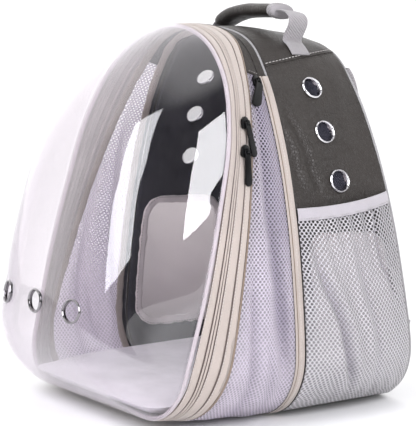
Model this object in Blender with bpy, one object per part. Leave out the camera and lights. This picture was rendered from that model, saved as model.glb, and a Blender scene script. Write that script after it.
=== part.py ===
"""Pet carrier backpack: a clear domed front on an arched zipper band, a mesh wedge that
opens towards the base, and a leather body with vents, side windows, side pockets,
a top handle and two shoulder straps. Metres, +Z up, the dome faces -Y."""

import math

import bmesh
import bpy
import numpy as np
from mathutils import Matrix, Vector

# General
CLEARANCE = 0.0003
LOOP_POINTS = 64
FINE_POINTS = 240

# Rear body, measured on its front frame and its back edge
BODY_HEIGHT = 0.4215
BODY_WIDTH = 0.359
BODY_DEPTH = 0.160
BODY_CORNER = 0.0716
FRAME_TILT = math.radians(1.6)
BACK_HEIGHT = 0.4045
BACK_TILT = math.radians(-4.2)
WALL = 0.0022
LINING = 0.0009
FRAME_DEPTH = 0.012
FRAME_WALL = 0.0036
BACK_PANEL = 0.009
BACK_PIPING = 0.0044

# Zipper band, open wedge and dome
WEDGE_DEPTH = 0.1179
BAND_TILT = math.radians(14.8)
BAND_LIFT = 0.0084
BAND_HEIGHT = 0.4326
BAND_WIDTH = 0.374
BAND_CORNER = 0.075
BAND_DEPTH = 0.0365
BAND_WALL = 0.0028
GUSSET_WALL = 0.0012
HINGE_WALL = 0.0022
HINGE_SHARE = 0.885
DOME_TILT = math.radians(14.7)
DOME_LIFT = 0.0115
DOME_HEIGHT = 0.4304
DOME_WIDTH = 0.3224
DOME_CORNER = 0.055
DOME_DEPTH = 0.109
DOME_WALL = 0.0016
DOME_PIPING = 0.0046
DOME_FULLNESS = 3.26
DOME_SHOULDER = 1.2
DOME_CENTRE_SHARE = 0.30

# Vent rings and their mesh
VENT_OUTER = 0.027
VENT_BORE = 0.0215
VENT_FLANGE = 0.0012
VENT_BARREL = 0.0012
VENT_MESH = 0.0008
# Label, share of the depth, share of the height
VENT_PLACES = (("top", 0.460, 0.864), ("middle", 0.460, 0.751), ("low", 0.498, 0.624))
DOME_VENT_SPACING = 0.068
DOME_VENT_SHARE = 0.231

# Side windows
WINDOW_FROM, WINDOW_TO = 0.10, 0.86
WINDOW_LOW, WINDOW_HIGH = 0.117, 0.492
WINDOW_CORNER = 0.024
WINDOW_MESH = 0.0009
WINDOW_GAP = 0.0005
BINDING_WIDTH = 0.009
BINDING_THICK = 0.0020

# Side pockets
POCKET_FROM, POCKET_TO = 0.015, 0.955
POCKET_LOW = 0.05
POCKET_HIGH = 0.522
POCKET_RISE = 0.043
POCKET_SEAM = 0.0011
POCKET_WALL = 0.0011
POCKET_BULGE = 0.016
ELASTIC_HEIGHT = 0.0135
ELASTIC_WALL = 0.0016

# Floor board
BOARD_THICK = 0.0122
BOARD_TOP = 0.0290
BOARD_FRONT = 0.010
BOARD_CORNER = 0.025
BOARD_TAPER = 0.018
BOARD_GAP = 0.0035

# Handle
HANDLE_DEPTH_SHARE = 0.472
HANDLE_GRIP_WIDTH = 0.034
HANDLE_GRIP_THICK = 0.0155
HANDLE_GAP = 0.019
HANDLE_FOOT_SPAN = 0.160
WEBBING_WIDTH = 0.030
WEBBING_THICK = 0.0020
FOOT_LENGTH = 0.016

# Zipper sliders and pulls
SLIDER_LENGTH = 0.0135
SLIDER_WIDTH = 0.0100
SLIDER_THICK = 0.0032
CROWN_WIDTH = 0.0024
CROWN_LENGTH = 0.0054
CROWN_HEIGHT = 0.0042
CROWN_WALL = 0.0010
PIN_DIAMETER = 0.0012
PULL_LENGTH = 0.038
WEDGE_PULL_LENGTH = 0.033
PULL_WIDTH = 0.0095
PULL_THICK = 0.0019
PULL_ARM = 0.0013
PULL_LEAN = math.radians(2.2)
PULL_BEND = math.radians(5.0)
PULL_SKEW = math.radians(23.0)
ZIPPER_SHARE = 0.55
UPPER_SHARE = 0.776
SLIDER_SPACING = 0.0294
PULL_PASS = 0.01228
WEDGE_SHARE = 0.868

# Shoulder straps
STRAP_WIDTH = 0.058
STRAP_THICK = 0.009
STRAP_STAND = 0.026
STRAP_SPACING = 0.150
STRAP_WEBBING_WIDTH = 0.025
STRAP_WEBBING_THICK = 0.0018
STRAP_FOOT_SPACING = 0.344
STRAP_FOOT_SHARE = 0.21

# Outlines, from the corner up: share of the height, share of half the width
BODY_OUTLINE = (
    (0.00, 1.000),
    (0.35, 0.955),
    (0.55, 0.866),
    (0.74, 0.7235),
    (0.88, 0.5575),
    (0.96, 0.401),
    (1.00, 0.000),
)
DOME_OUTLINE = (
    (0.00, 0.977),
    (0.35, 1.000),
    (0.55, 0.967),
    (0.74, 0.891),
    (0.88, 0.696),
    (0.96, 0.428),
    (1.00, 0.000),
)

# Dome depth up its height: share of the height, share of the depth
DOME_DEPTHS = (
    (0.0, 0.877),
    (0.2, 0.947),
    (0.4, 0.989),
    (0.6, 0.997),
    (0.8, 0.962),
    (1.0, 0.876),
)
DOME_LEVELS = (1.0, 0.992, 0.965, 0.92, 0.85, 0.75, 0.62, 0.46, 0.28)

# Handle from its right foot to its left: share of half the foot span, share of the rise
HANDLE_PATH = (
    (0.83, 0.10),
    (0.88, 0.30),
    (0.955, 0.58),
    (0.965, 0.80),
    (0.90, 0.96),
    (0.78, 1.03),
    (0.58, 1.02),
    (0.38, 1.02),
    (0.13, 1.00),
    (-0.13, 0.965),
    (-0.38, 0.87),
    (-0.60, 0.72),
    (-0.78, 0.50),
    (-0.86, 0.36),
    (-0.89, 0.22),
    (-0.85, 0.10),
)
HANDLE_GRIP_ROWS = (6, 12)

# Side pocket from its base to its band: share of the way up, share of the bulge
POCKET_ROWS = (
    (0.00, 0.00),
    (0.05, 0.25),
    (0.11, 0.50),
    (0.19, 0.78),
    (0.30, 0.97),
    (0.42, 1.00),
    (0.60, 0.93),
    (0.80, 0.78),
    (1.00, 0.58),
)

# Shoulder strap: share of the back height, share of the spacing, share of the stand, width share
STRAP_PATH = (
    (0.925, 0.86, 0.00, 0.56),
    (0.912, 0.86, 0.12, 0.58),
    (0.885, 0.87, 0.24, 0.62),
    (0.840, 0.88, 0.30, 0.70),
    (0.780, 0.90, 0.38, 0.82),
    (0.700, 0.94, 0.58, 0.93),
    (0.600, 0.98, 0.82, 1.00),
    (0.500, 1.00, 0.98, 1.00),
    (0.420, 1.00, 0.96, 0.92),
    (0.365, 1.00, 0.84, 0.78),
    (0.330, 1.00, 0.62, 0.62),
)
# Lower webbing: share of the way from the strap's end to its foot, stand share
WEBBING_PATH = ((0.0, 0.75), (0.35, 0.62), (0.68, 0.25), (0.86, 0.02), (1.0, 0.0))

COLOURS = {
    "leather": (0.090, 0.080, 0.072, 1.0),
    "lining": (0.030, 0.029, 0.038, 1.0),
    "tape": (0.560, 0.510, 0.470, 1.0),
    "piping": (0.740, 0.720, 0.710, 1.0),
    "mesh": (0.680, 0.640, 0.700, 1.0),
    "pocket": (0.640, 0.660, 0.640, 1.0),
    "webbing": (0.380, 0.370, 0.370, 1.0),
    "board": (0.760, 0.750, 0.760, 1.0),
    "window": (0.600, 0.550, 0.520, 1.0),
    "clear": (0.900, 0.880, 0.900, 1.0),
    "chrome": (0.700, 0.700, 0.710, 1.0),
    "black": (0.015, 0.015, 0.016, 1.0),
}


def clear_scene():
    for obj in list(bpy.data.objects):
        bpy.data.objects.remove(obj, do_unlink=True)


def collection(name, hidden=False):
    made = bpy.data.collections.new(name)
    bpy.context.scene.collection.children.link(made)
    made.hide_render = hidden
    return made


clear_scene()
CARRIER = collection("pet_carrier_backpack")
CUTTERS = collection("cutters", hidden=True)


def material(name):
    found = bpy.data.materials.get(name)
    if found:
        return found
    made = bpy.data.materials.new(name)
    made.use_nodes = True
    shader = made.node_tree.nodes["Principled BSDF"]
    shader.inputs["Base Color"].default_value = COLOURS[name]
    shader.inputs["Roughness"].default_value = 0.25 if name in ("clear", "chrome", "black") else 0.7
    shader.inputs["Metallic"].default_value = 1.0 if name == "chrome" else 0.0
    if name == "clear":
        shader.inputs["Transmission Weight"].default_value = 1.0
        shader.inputs["Roughness"].default_value = 0.05
    return made


def finish(bm, name, look, smooth=True, group=None):
    bmesh.ops.recalc_face_normals(bm, faces=bm.faces)
    mesh = bpy.data.meshes.new(name)
    bm.to_mesh(mesh)
    bm.free()
    obj = bpy.data.objects.new(name, mesh)
    (group or CARRIER).objects.link(obj)
    if look:
        mesh.materials.append(material(look))
    for polygon in mesh.polygons:
        polygon.use_smooth = smooth
    return obj


def cutter(bm, name):
    obj = finish(bm, name, None, group=CUTTERS)
    obj.hide_render = True
    obj.display_type = "WIRE"
    return obj


def cut(obj, tools):
    for tool in tools:
        modifier = obj.modifiers.new("cut_" + tool.name, "BOOLEAN")
        modifier.operation = "DIFFERENCE"
        modifier.solver = "EXACT"
        modifier.object = tool


# Arched outlines

def curve_through(points, count):
    """Smooth curve through the points, with tangents weighted by the distances between them."""
    points = np.array(points, float)
    steps = np.linalg.norm(np.diff(points, axis=0), axis=1)
    slopes = np.diff(points, axis=0) / steps[:, None]
    tangents = np.zeros_like(points)
    weight = steps[:-1] + steps[1:]
    tangents[1:-1] = (slopes[:-1] * steps[1:, None] + slopes[1:] * steps[:-1, None]) / weight[:, None]
    tangents[0] = slopes[0]
    tangents[-1] = slopes[-1]
    out = []
    for i in range(len(steps)):
        for k in range(count):
            t = k / count
            a = (1 + 2 * t) * (1 - t) ** 2
            b = t * (1 - t) ** 2
            c = t * t * (3 - 2 * t)
            d = t * t * (t - 1)
            out.append(a * points[i] + b * steps[i] * tangents[i]
                       + c * points[i + 1] + d * steps[i] * tangents[i + 1])
    out.append(points[-1])
    return np.array(out)


class Ring:
    """An arch in a leaning plane: flat base, round corners, narrowing to a round top."""

    def __init__(self, base_y, tilt, lift, height, width, corner, rows):
        self.base_y, self.tilt, self.lift = base_y, tilt, lift
        self.height, self.half, self.corner = height, width / 2, corner
        side = self.half * rows[0][1]
        arc = [
            (side - corner + corner * math.sin(a), corner - corner * math.cos(a))
            for a in np.linspace(0.0, math.pi / 2, 25)
        ]
        upper = [(side, corner)] + [(self.half * w, height * h) for h, w in rows[1:]]
        below = (side, corner - 0.4 * (upper[1][1] - corner))
        beyond = (-upper[-2][0], upper[-2][1])
        smooth = curve_through([below] + upper + [beyond], 24)[24:-24]
        half = np.array([(0.0, 0.0)] + arc + list(smooth[1:]))
        reach = np.concatenate([[0.0], np.cumsum(np.linalg.norm(np.diff(half, axis=0), axis=1))])
        self.share = np.linspace(0.0, 1.0, FINE_POINTS + 1)
        self.fine = np.stack([np.interp(self.share * reach[-1], reach, half[:, i]) for i in (0, 1)], 1)
        along = np.gradient(self.fine, axis=0)
        along[0] = (1.0, 0.0)
        along[-1] = (-1.0, 0.0)
        along /= np.linalg.norm(along, axis=1)[:, None]
        self.out = np.stack([along[:, 1], -along[:, 0]], 1)

    def flat(self, share, inset=0.0):
        """(x, height) at a share of the way round, 0 and 1 being the middle of the base."""
        turn = share % 1.0
        side = 1.0 if turn <= 0.5 else -1.0
        t = 2 * turn if turn <= 0.5 else 2 - 2 * turn
        at = [np.interp(t, self.share, (self.fine - inset * self.out)[:, i]) for i in (0, 1)]
        return side * at[0], at[1]

    def place(self, x, s, along=0.0):
        """A point of the plane, moved back by along."""
        y = self.base_y + s * math.sin(self.tilt) + along * math.cos(self.tilt)
        z = self.lift + s * math.cos(self.tilt) - along * math.sin(self.tilt)
        return Vector((x, y, z))

    def point(self, share, inset=0.0, along=0.0):
        x, s = self.flat(share, inset)
        return self.place(x, s, along)

    def turn_at(self, height_share, side):
        """Share of the way round at which the outline reaches a share of its height."""
        t = float(np.interp(height_share * self.height, self.fine[:, 1], self.share))
        return t / 2 if side > 0 else 1.0 - t / 2

    def half_width_at(self, s):
        return float(np.interp(s, self.fine[:, 1], self.fine[:, 0]))


FRAME = Ring(0.0, FRAME_TILT, 0.0, BODY_HEIGHT, BODY_WIDTH, BODY_CORNER, BODY_OUTLINE)
BACK = Ring(BODY_DEPTH, BACK_TILT, 0.0, BACK_HEIGHT, BODY_WIDTH, BODY_CORNER, BODY_OUTLINE)
BAND = Ring(-WEDGE_DEPTH, BAND_TILT, BAND_LIFT, BAND_HEIGHT, BAND_WIDTH, BAND_CORNER, BODY_OUTLINE)
RIM = Ring(-WEDGE_DEPTH - BAND_DEPTH, DOME_TILT, DOME_LIFT, DOME_HEIGHT, DOME_WIDTH, DOME_CORNER,
           DOME_OUTLINE)
TURNS = [i / LOOP_POINTS for i in range(LOOP_POINTS)]
# How far the flats of a wall lie inside its true curve, at the tightest corner
GIRTH = 2 * float(np.linalg.norm(np.diff(FRAME.fine, axis=0), axis=1).sum())
FACET = (GIRTH / LOOP_POINTS) ** 2 / (8 * BODY_CORNER)


# Solids from grids of points

def grid_solid(name, outer, inner, look, wrap=False, group=None):
    """A closed sheet between two grids of points, rows by columns."""
    bm = bmesh.new()
    tops = [[bm.verts.new(p) for p in row] for row in outer]
    lows = [[bm.verts.new(p) for p in row] for row in inner]
    rows, columns = len(outer), len(outer[0])
    last = columns if wrap else columns - 1
    for r in range(rows - 1):
        for c in range(last):
            n = (c + 1) % columns
            bm.faces.new((tops[r][c], tops[r][n], tops[r + 1][n], tops[r + 1][c]))
            bm.faces.new((lows[r][c], lows[r + 1][c], lows[r + 1][n], lows[r][n]))
    for c in range(last):
        n = (c + 1) % columns
        bm.faces.new((tops[0][n], tops[0][c], lows[0][c], lows[0][n]))
        bm.faces.new((tops[-1][c], tops[-1][n], lows[-1][n], lows[-1][c]))
    if not wrap:
        for r in range(rows - 1):
            bm.faces.new((tops[r][0], tops[r + 1][0], lows[r + 1][0], lows[r][0]))
            bm.faces.new((tops[r][-1], lows[r][-1], lows[r + 1][-1], tops[r + 1][-1]))
    return finish(bm, name, look, group=group)


def between(front, rear, turns, u, inset=0.0, along=(0.0, 0.0)):
    """A row of points between two rings; along moves each ring's plane back."""
    return [front.point(t, inset, along[0]).lerp(rear.point(t, inset, along[1]), u) for t in turns]


def loop_shell(name, front, rear, shares, inset, wall, look, along=(0.0, 0.0), turns=None):
    """A wall between two rings, all round, or over a range of turns."""
    run = turns or TURNS
    outer = [between(front, rear, run, u, inset, along) for u in shares]
    inner = [between(front, rear, run, u, inset + wall, along) for u in shares]
    return grid_solid(name, outer, inner, look, wrap=turns is None)


def piping(name, front, rear, depth, diameter, look, at_front):
    """A round cord along the front or the rear ring of a wall, level with its outline."""
    bm = bmesh.new()
    sides = 6
    loops = []
    radius = diameter / 2
    for t in TURNS:
        loop = []
        for k in range(sides):
            a = 2 * math.pi * (k + 0.5) / sides
            u = (radius - radius * math.sin(a)) / depth
            point = between(front, rear, [t], u if at_front else 1.0 - u, radius - radius * math.cos(a))
            loop.append(bm.verts.new(point[0]))
        loops.append(loop)
    for i in range(len(loops)):
        j = (i + 1) % len(loops)
        for k in range(sides):
            m = (k + 1) % sides
            bm.faces.new((loops[i][k], loops[j][k], loops[j][m], loops[i][m]))
    return finish(bm, name, look)


def side_frame(front, rear, side, u, height_share, out=0.0, along=(0.0, 0.0)):
    """Point, outward normal, downward and rearward directions on a side wall."""
    turn = front.turn_at(height_share, side)

    def at(du, dt):
        a = front.point(turn + dt, 0.0, along[0])
        b = rear.point(turn + dt, 0.0, along[1])
        return a.lerp(b, u + du)

    rearward = (at(0.01, 0.0) - at(-0.01, 0.0)).normalized()
    down = (at(0.0, -0.004 * side) - at(0.0, 0.004 * side)).normalized()
    normal = rearward.cross(down).normalized() * side
    if normal.x * side < 0:
        normal.negate()
    down = (down - rearward * down.dot(rearward)).normalized()
    return at(0.0, 0.0) + normal * out, normal, down, rearward


# Dome

RIM_ANGLES = np.arctan2(RIM.fine[:, 0], RIM.fine[:, 1] - DOME_CENTRE_SHARE * DOME_HEIGHT)
RIM_REACH = np.hypot(RIM.fine[:, 0], RIM.fine[:, 1] - DOME_CENTRE_SHARE * DOME_HEIGHT)


def dome_height(x, s):
    """How far the dome stands out of the rim's plane over a point of it."""
    centre = DOME_CENTRE_SHARE * DOME_HEIGHT
    angle = math.atan2(abs(x), s - centre)
    reach = np.interp(angle, RIM_ANGLES[::-1], RIM_REACH[::-1])
    level = min(math.hypot(x, s - centre) / reach, 1.0)
    rows = np.array(DOME_DEPTHS)
    depth = DOME_DEPTH * np.interp(s / DOME_HEIGHT, rows[:, 0], rows[:, 1])
    return float(depth * (1.0 - level**DOME_FULLNESS) ** (1.0 / DOME_SHOULDER))


def dome_point(x, s):
    return RIM.place(x, s, -dome_height(x, s) - CLEARANCE)


def dome_frame(x, s):
    step = 0.002
    across = dome_point(x + step, s) - dome_point(x - step, s)
    up = dome_point(x, s + step) - dome_point(x, s - step)
    normal = across.cross(up).normalized()
    if normal.y > 0:
        normal.negate()
    return dome_point(x, s), normal


def make_dome():
    centre = DOME_CENTRE_SHARE * DOME_HEIGHT
    outer = []
    for level in DOME_LEVELS:
        row = []
        for t in TURNS:
            x, s = RIM.flat(t, 0.0004)
            row.append(dome_point(x * level, centre + (s - centre) * level) if level < 1.0
                       else RIM.place(x, s, -CLEARANCE))
        outer.append(row)
    tip = dome_point(0.0, centre)
    bm = bmesh.new()
    rings = [[bm.verts.new(p) for p in row] for row in outer]
    top = bm.verts.new(tip)
    count = len(TURNS)
    for r in range(len(rings) - 1):
        for c in range(count):
            n = (c + 1) % count
            bm.faces.new((rings[r][c], rings[r][n], rings[r + 1][n], rings[r + 1][c]))
    for c in range(count):
        bm.faces.new((rings[-1][c], rings[-1][(c + 1) % count], top))
    bmesh.ops.recalc_face_normals(bm, faces=bm.faces)
    bm.normal_update()
    if top.normal.y > 0:
        bmesh.ops.reverse_faces(bm, faces=bm.faces)
        bm.normal_update()
    shifted = {v: v.co - v.normal * DOME_WALL for row in rings for v in row}
    shifted[top] = top.co - top.normal * DOME_WALL
    for c, v in enumerate(rings[0]):
        x, s = RIM.flat(TURNS[c], 0.0004 + DOME_WALL)
        shifted[v] = RIM.place(x, s, -CLEARANCE)
    twin = {v: bm.verts.new(p) for v, p in shifted.items()}
    for face in list(bm.faces):
        bm.faces.new([twin[v] for v in reversed(face.verts)])
    for c in range(count):
        n = (c + 1) % count
        a, b = rings[0][c], rings[0][n]
        bm.faces.new((b, a, twin[a], twin[b]))
    return finish(bm, "dome", "clear")


# Round fittings

def turned(name, profile, origin, axis, look, sides=16, group=None):
    """A ring turned from (radius, height) points about an axis."""
    bm = bmesh.new()
    turn = axis.to_track_quat("Z", "Y").to_matrix()
    loops = []
    for i in range(sides):
        a = 2 * math.pi * i / sides
        loops.append([
            bm.verts.new(origin + turn @ Vector((r * math.cos(a), r * math.sin(a), h)))
            for r, h in profile
        ])
    for i in range(sides):
        j = (i + 1) % sides
        for k in range(len(profile)):
            m = (k + 1) % len(profile)
            bm.faces.new((loops[i][k], loops[j][k], loops[j][m], loops[i][m]))
    return finish(bm, name, look, group=group)


def disc(name, radius, low, high, origin, axis, look, sides=16, group=None):
    bm = bmesh.new()
    turn = axis.to_track_quat("Z", "Y").to_matrix()
    rings = []
    for h in (low, high):
        rings.append([
            bm.verts.new(origin + turn @ Vector((radius * math.cos(a), radius * math.sin(a), h)))
            for a in (2 * math.pi * i / sides for i in range(sides))
        ])
    for i in range(sides):
        j = (i + 1) % sides
        bm.faces.new((rings[0][i], rings[0][j], rings[1][j], rings[1][i]))
    bm.faces.new(rings[0][::-1])
    bm.faces.new(rings[1])
    if group is CUTTERS:
        return cutter(bm, name)
    return finish(bm, name, look, smooth=False, group=group)


def vent(name, origin, normal, depth, lift):
    """A ring whose flange lies outside the wall and whose barrel passes through it."""
    bore = VENT_BORE / 2
    barrel = bore + VENT_BARREL
    outer = VENT_OUTER / 2
    profile = [
        (bore, -depth),
        (barrel, -depth),
        (barrel, lift),
        (outer, lift),
        (outer, lift + 0.4 * VENT_FLANGE),
        (outer - 0.0012, lift + VENT_FLANGE),
        (bore, lift + VENT_FLANGE),
    ]
    turned(name, profile, origin, normal, "chrome")
    return disc("cut_" + name, barrel + CLEARANCE, -0.03, 0.03, origin, normal, None, group=CUTTERS)


# Flat strips that follow a path

def strip(name, path, widths, across, thick, look):
    """A flat strip along a path; across gives its width direction at each point."""
    points = [Vector(p) for p in path]
    outer, inner = [], []
    for i, p in enumerate(points):
        ahead = points[min(i + 1, len(points) - 1)] - points[max(i - 1, 0)]
        side = across[i] - ahead.normalized() * across[i].dot(ahead.normalized())
        side.normalize()
        normal = ahead.cross(side).normalized()
        half = widths[i] / 2
        outer.append([p + side * half * k + normal * thick / 2 for k in (-1, -0.82, 0.82, 1)])
        inner.append([p + side * half * k - normal * thick / 2 for k in (-1, -0.82, 0.82, 1)])
        for row, sign in ((outer[-1], 1), (inner[-1], -1)):
            row[0] -= normal * thick * 0.28 * sign
            row[3] -= normal * thick * 0.28 * sign
    return grid_solid(name, outer, inner, look)


# Body

def make_body():
    first = CLEARANCE / BODY_DEPTH
    last = 1.0 - (BACK_PIPING + CLEARANCE) / BODY_DEPTH
    body = loop_shell("body_shell", FRAME, BACK, (first, last), 0.0, WALL, "leather")
    lining_last = 1.0 - (BACK_PANEL + 2 * CLEARANCE) / BODY_DEPTH
    lining = loop_shell("body_lining", FRAME, BACK, (first, lining_last), WALL + CLEARANCE, LINING,
                        "lining")
    loop_shell("body_frame_binding", FRAME, FRAME, (0.0, 1.0), 0.0, FRAME_WALL, "tape",
               along=(-FRAME_DEPTH, 0.0))
    piping("back_piping", FRAME, BACK, BODY_DEPTH, BACK_PIPING, "piping", at_front=False)
    inset = WALL + CLEARANCE

    def panel_row(depth, extra):
        return between(FRAME, BACK, TURNS, 1.0 - depth / BODY_DEPTH, inset + extra)

    rows = [
        panel_row(BACK_PANEL, 0.004),
        panel_row(BACK_PANEL - 0.003, 0.0),
        panel_row(BACK_PIPING + CLEARANCE, 0.0),
        panel_row(BACK_PIPING + CLEARANCE, BACK_PIPING),
        panel_row(0.0, BACK_PIPING),
    ]
    bm = bmesh.new()
    loops = [[bm.verts.new(p) for p in row] for row in rows]
    count = len(TURNS)
    for r in range(len(loops) - 1):
        for c in range(count):
            n = (c + 1) % count
            bm.faces.new((loops[r][c], loops[r][n], loops[r + 1][n], loops[r + 1][c]))
    bm.faces.new(loops[0][::-1])
    bm.faces.new(loops[-1])
    bmesh.ops.triangulate(bm, faces=[f for f in bm.faces if len(f.verts) > 4])
    finish(bm, "back_panel", "leather")
    return body, lining


def window_grid(side, margin, out):
    """Rows of points over the rounded window on a side wall, grown by a margin."""
    wide = (WINDOW_TO - WINDOW_FROM) * BODY_DEPTH
    tall = (WINDOW_HIGH - WINDOW_LOW) * BODY_HEIGHT
    radius = WINDOW_CORNER + margin
    turns = [math.pi / 2 * k / 4 for k in range(5)]
    low = [(radius * (1 - math.cos(a)), radius * (1 - math.sin(a))) for a in turns]
    rows = [(y - margin, x - margin) for y, x in low]
    straight = tall - 2 * WINDOW_CORNER
    rows += [(WINDOW_CORNER + straight * k / 4, -margin) for k in (1, 2, 3)]
    rows += [(tall + margin - y, x - margin) for y, x in reversed(low)]
    grid = []
    for y, x in rows:
        share = WINDOW_LOW + y / BODY_HEIGHT
        row = []
        for k in range(6):
            across = x + (wide - 2 * x) * k / 5
            u = WINDOW_FROM + across / BODY_DEPTH
            row.append(side_frame(FRAME, BACK, side, u, share, out)[0])
        grid.append(row)
    return grid


def window_edge(side, margin, out):
    grid = window_grid(side, margin, out)
    rear = [row[-1] for row in grid[1:-1]]
    front = [row[0] for row in grid[1:-1]]
    return grid[0] + rear + grid[-1][::-1] + front[::-1]


def make_window(side, label):
    """The mesh window fills a hole in the wall; its binding lies on the lining."""
    tool = grid_solid("cut_window_" + label, window_grid(side, 0.0, 0.012),
                      window_grid(side, 0.0, -0.012), None, group=CUTTERS)
    tool.hide_render = True
    tool.display_type = "WIRE"
    middle = -WALL / 2
    grid_solid("window_mesh_" + label, window_grid(side, -WINDOW_GAP, middle + WINDOW_MESH / 2),
               window_grid(side, -WINDOW_GAP, middle - WINDOW_MESH / 2), "window")
    top = -(WALL + CLEARANCE + LINING + CLEARANCE + FACET)
    half = BINDING_WIDTH / 2
    loops = [window_edge(side, half, top), window_edge(side, -half, top),
             window_edge(side, -half, top - BINDING_THICK), window_edge(side, half, top - BINDING_THICK)]
    bm = bmesh.new()
    loops = [[bm.verts.new(p) for p in loop] for loop in loops]
    count = len(loops[0])
    for r in range(4):
        m = (r + 1) % 4
        for c in range(count):
            n = (c + 1) % count
            bm.faces.new((loops[r][c], loops[r][n], loops[m][n], loops[m][c]))
    finish(bm, "window_binding_" + label, "webbing")
    return tool


def pocket_grid(side, rows, columns, extra):
    """Points over a side wall; rows hold the height share, the rise at the back and the swell."""
    grid = []
    for low, rise, swell in rows:
        row = []
        for k in range(columns + 1):
            a = k / columns
            u = POCKET_FROM + (POCKET_TO - POCKET_FROM) * a
            out = POCKET_SEAM + POCKET_BULGE * swell * max(math.sin(math.pi * a), 0.0) ** 0.6
            row.append(side_frame(FRAME, BACK, side, u, low + rise * a * a, out + extra)[0])
        grid.append(row)
    return grid


def make_pocket(side, label):
    """A mesh sheet sewn down along three edges, with an elastic band along its open top."""
    gap = CLEARANCE / BODY_HEIGHT
    tall = POCKET_HIGH - gap - POCKET_LOW
    rows = [(POCKET_LOW + tall * up, POCKET_RISE * up, swell) for up, swell in POCKET_ROWS]
    inner = pocket_grid(side, rows, 10, 0.0)
    outer = pocket_grid(side, rows, 10, POCKET_WALL)
    grid_solid("pocket_mesh_" + label, outer, inner, "pocket")
    band = ELASTIC_HEIGHT / BODY_HEIGHT
    swell = POCKET_ROWS[-1][1]
    rows = [(POCKET_HIGH + gap + band * up, POCKET_RISE, swell) for up in (0.0, 0.5, 1.0)]
    grid_solid("pocket_elastic_" + label, pocket_grid(side, rows, 12, ELASTIC_WALL),
               pocket_grid(side, rows, 12, 0.0), "webbing")


# Front assembly

def make_front():
    piping("dome_piping", RIM, BAND, BAND_DEPTH, DOME_PIPING, "piping", at_front=True)
    first = (DOME_PIPING + CLEARANCE) / BAND_DEPTH
    loop_shell("zipper_band", RIM, BAND, (first, 1.0), 0.0, BAND_WALL, "tape")
    edge = (CLEARANCE, -FRAME_DEPTH - CLEARANCE)
    split = FRAME.turn_at(HINGE_SHARE, 1)
    gap = CLEARANCE / BODY_HEIGHT / 2
    count = 20
    over = [split + gap + (1.0 - 2 * split - 2 * gap) * i / count for i in range(count + 1)]
    loop_shell("hinge_strip", BAND, FRAME, (0.0, 1.0), 0.0, HINGE_WALL, "leather",
               along=edge, turns=over)
    count = 48
    start = -(split - gap)
    under = [start + (2 * split - 2 * gap) * i / count for i in range(count + 1)]
    loop_shell("expansion_gusset", BAND, FRAME, (0.0, 0.5, 1.0), 0.0, GUSSET_WALL,
               "mesh", along=edge, turns=under)


def make_dome_vents(dome):
    tools = []
    for label, x in (("left", -DOME_VENT_SPACING), ("middle", 0.0), ("right", DOME_VENT_SPACING)):
        origin, normal = dome_frame(x, DOME_VENT_SHARE * DOME_HEIGHT)
        tools.append(vent("dome_vent_" + label, origin, normal, DOME_WALL + 0.0006, 0.0006))
    cut(dome, tools)


# Floor board

def board_outline(level, front, height):
    """Points round the board at a height, fitted to the widths at a level."""
    lower = FRAME.fine[:, 1] < BODY_CORNER
    inner = (FRAME.fine - (FRAME_WALL + CLEARANCE + FACET) * FRAME.out)[lower]
    wide = float(np.interp(BOARD_TOP - BOARD_THICK, inner[:, 1], inner[:, 0]))
    narrow = RIM.half_width_at(level - DOME_LIFT) - BAND_WALL - DOME_PIPING - BOARD_GAP
    rear = BODY_DEPTH - BACK_PANEL - BOARD_GAP
    radius = BOARD_CORNER
    half = [(narrow - radius + radius * math.sin(a), front + radius - radius * math.cos(a))
            for a in np.linspace(0.0, math.pi / 2, 6)]
    half += [(narrow, RIM.base_y + DOME_PIPING + BOARD_CORNER / 2), (wide, -0.6 * WEDGE_DEPTH),
             (wide, rear)]
    outline = half + [(-x, y) for x, y in reversed(half)]
    return [Vector((x, y, height)) for x, y in outline]


def make_board():
    """A padded board across the base, narrower where it passes the zipper band."""
    low = BOARD_TOP - BOARD_THICK
    front = RIM.base_y - BOARD_FRONT
    top = board_outline(BOARD_TOP - BOARD_GAP, front, BOARD_TOP)
    base = board_outline(low, front + BOARD_TAPER, low)
    bm = bmesh.new()
    top = [bm.verts.new(p) for p in top]
    base = [bm.verts.new(p) for p in base]
    count = len(top)
    for c in range(count):
        n = (c + 1) % count
        bm.faces.new((base[c], base[n], top[n], top[c]))
    bm.faces.new(top)
    bm.faces.new(base[::-1])
    bmesh.ops.triangulate(bm, faces=[f for f in bm.faces if len(f.verts) > 4])
    finish(bm, "floor_board", "board", smooth=False)


# Handle

def roof_point(x, out=0.0):
    """Point on the body's roof at a distance x from its middle line, and the way rearward."""
    side = 1.0 if x >= 0 else -1.0
    upper = FRAME.fine[:, 1] > 0.6 * FRAME.height
    widths, heights = FRAME.fine[upper, 0], FRAME.fine[upper, 1]
    share = min(float(np.interp(abs(x), widths[::-1], heights[::-1])) / FRAME.height, 0.9999)
    point, _, _, rearward = side_frame(FRAME, BACK, side, HANDLE_DEPTH_SHARE, share, out)
    return point, rearward


def handle_foot(side):
    """Points of a webbing end lying on the roof, from its low end up."""
    points = []
    for k in range(4):
        x = HANDLE_FOOT_SPAN / 2 - FOOT_LENGTH * k / 3
        points.append(roof_point(side * x, 2 * CLEARANCE + WEBBING_THICK / 2)[0])
    return points


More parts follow.
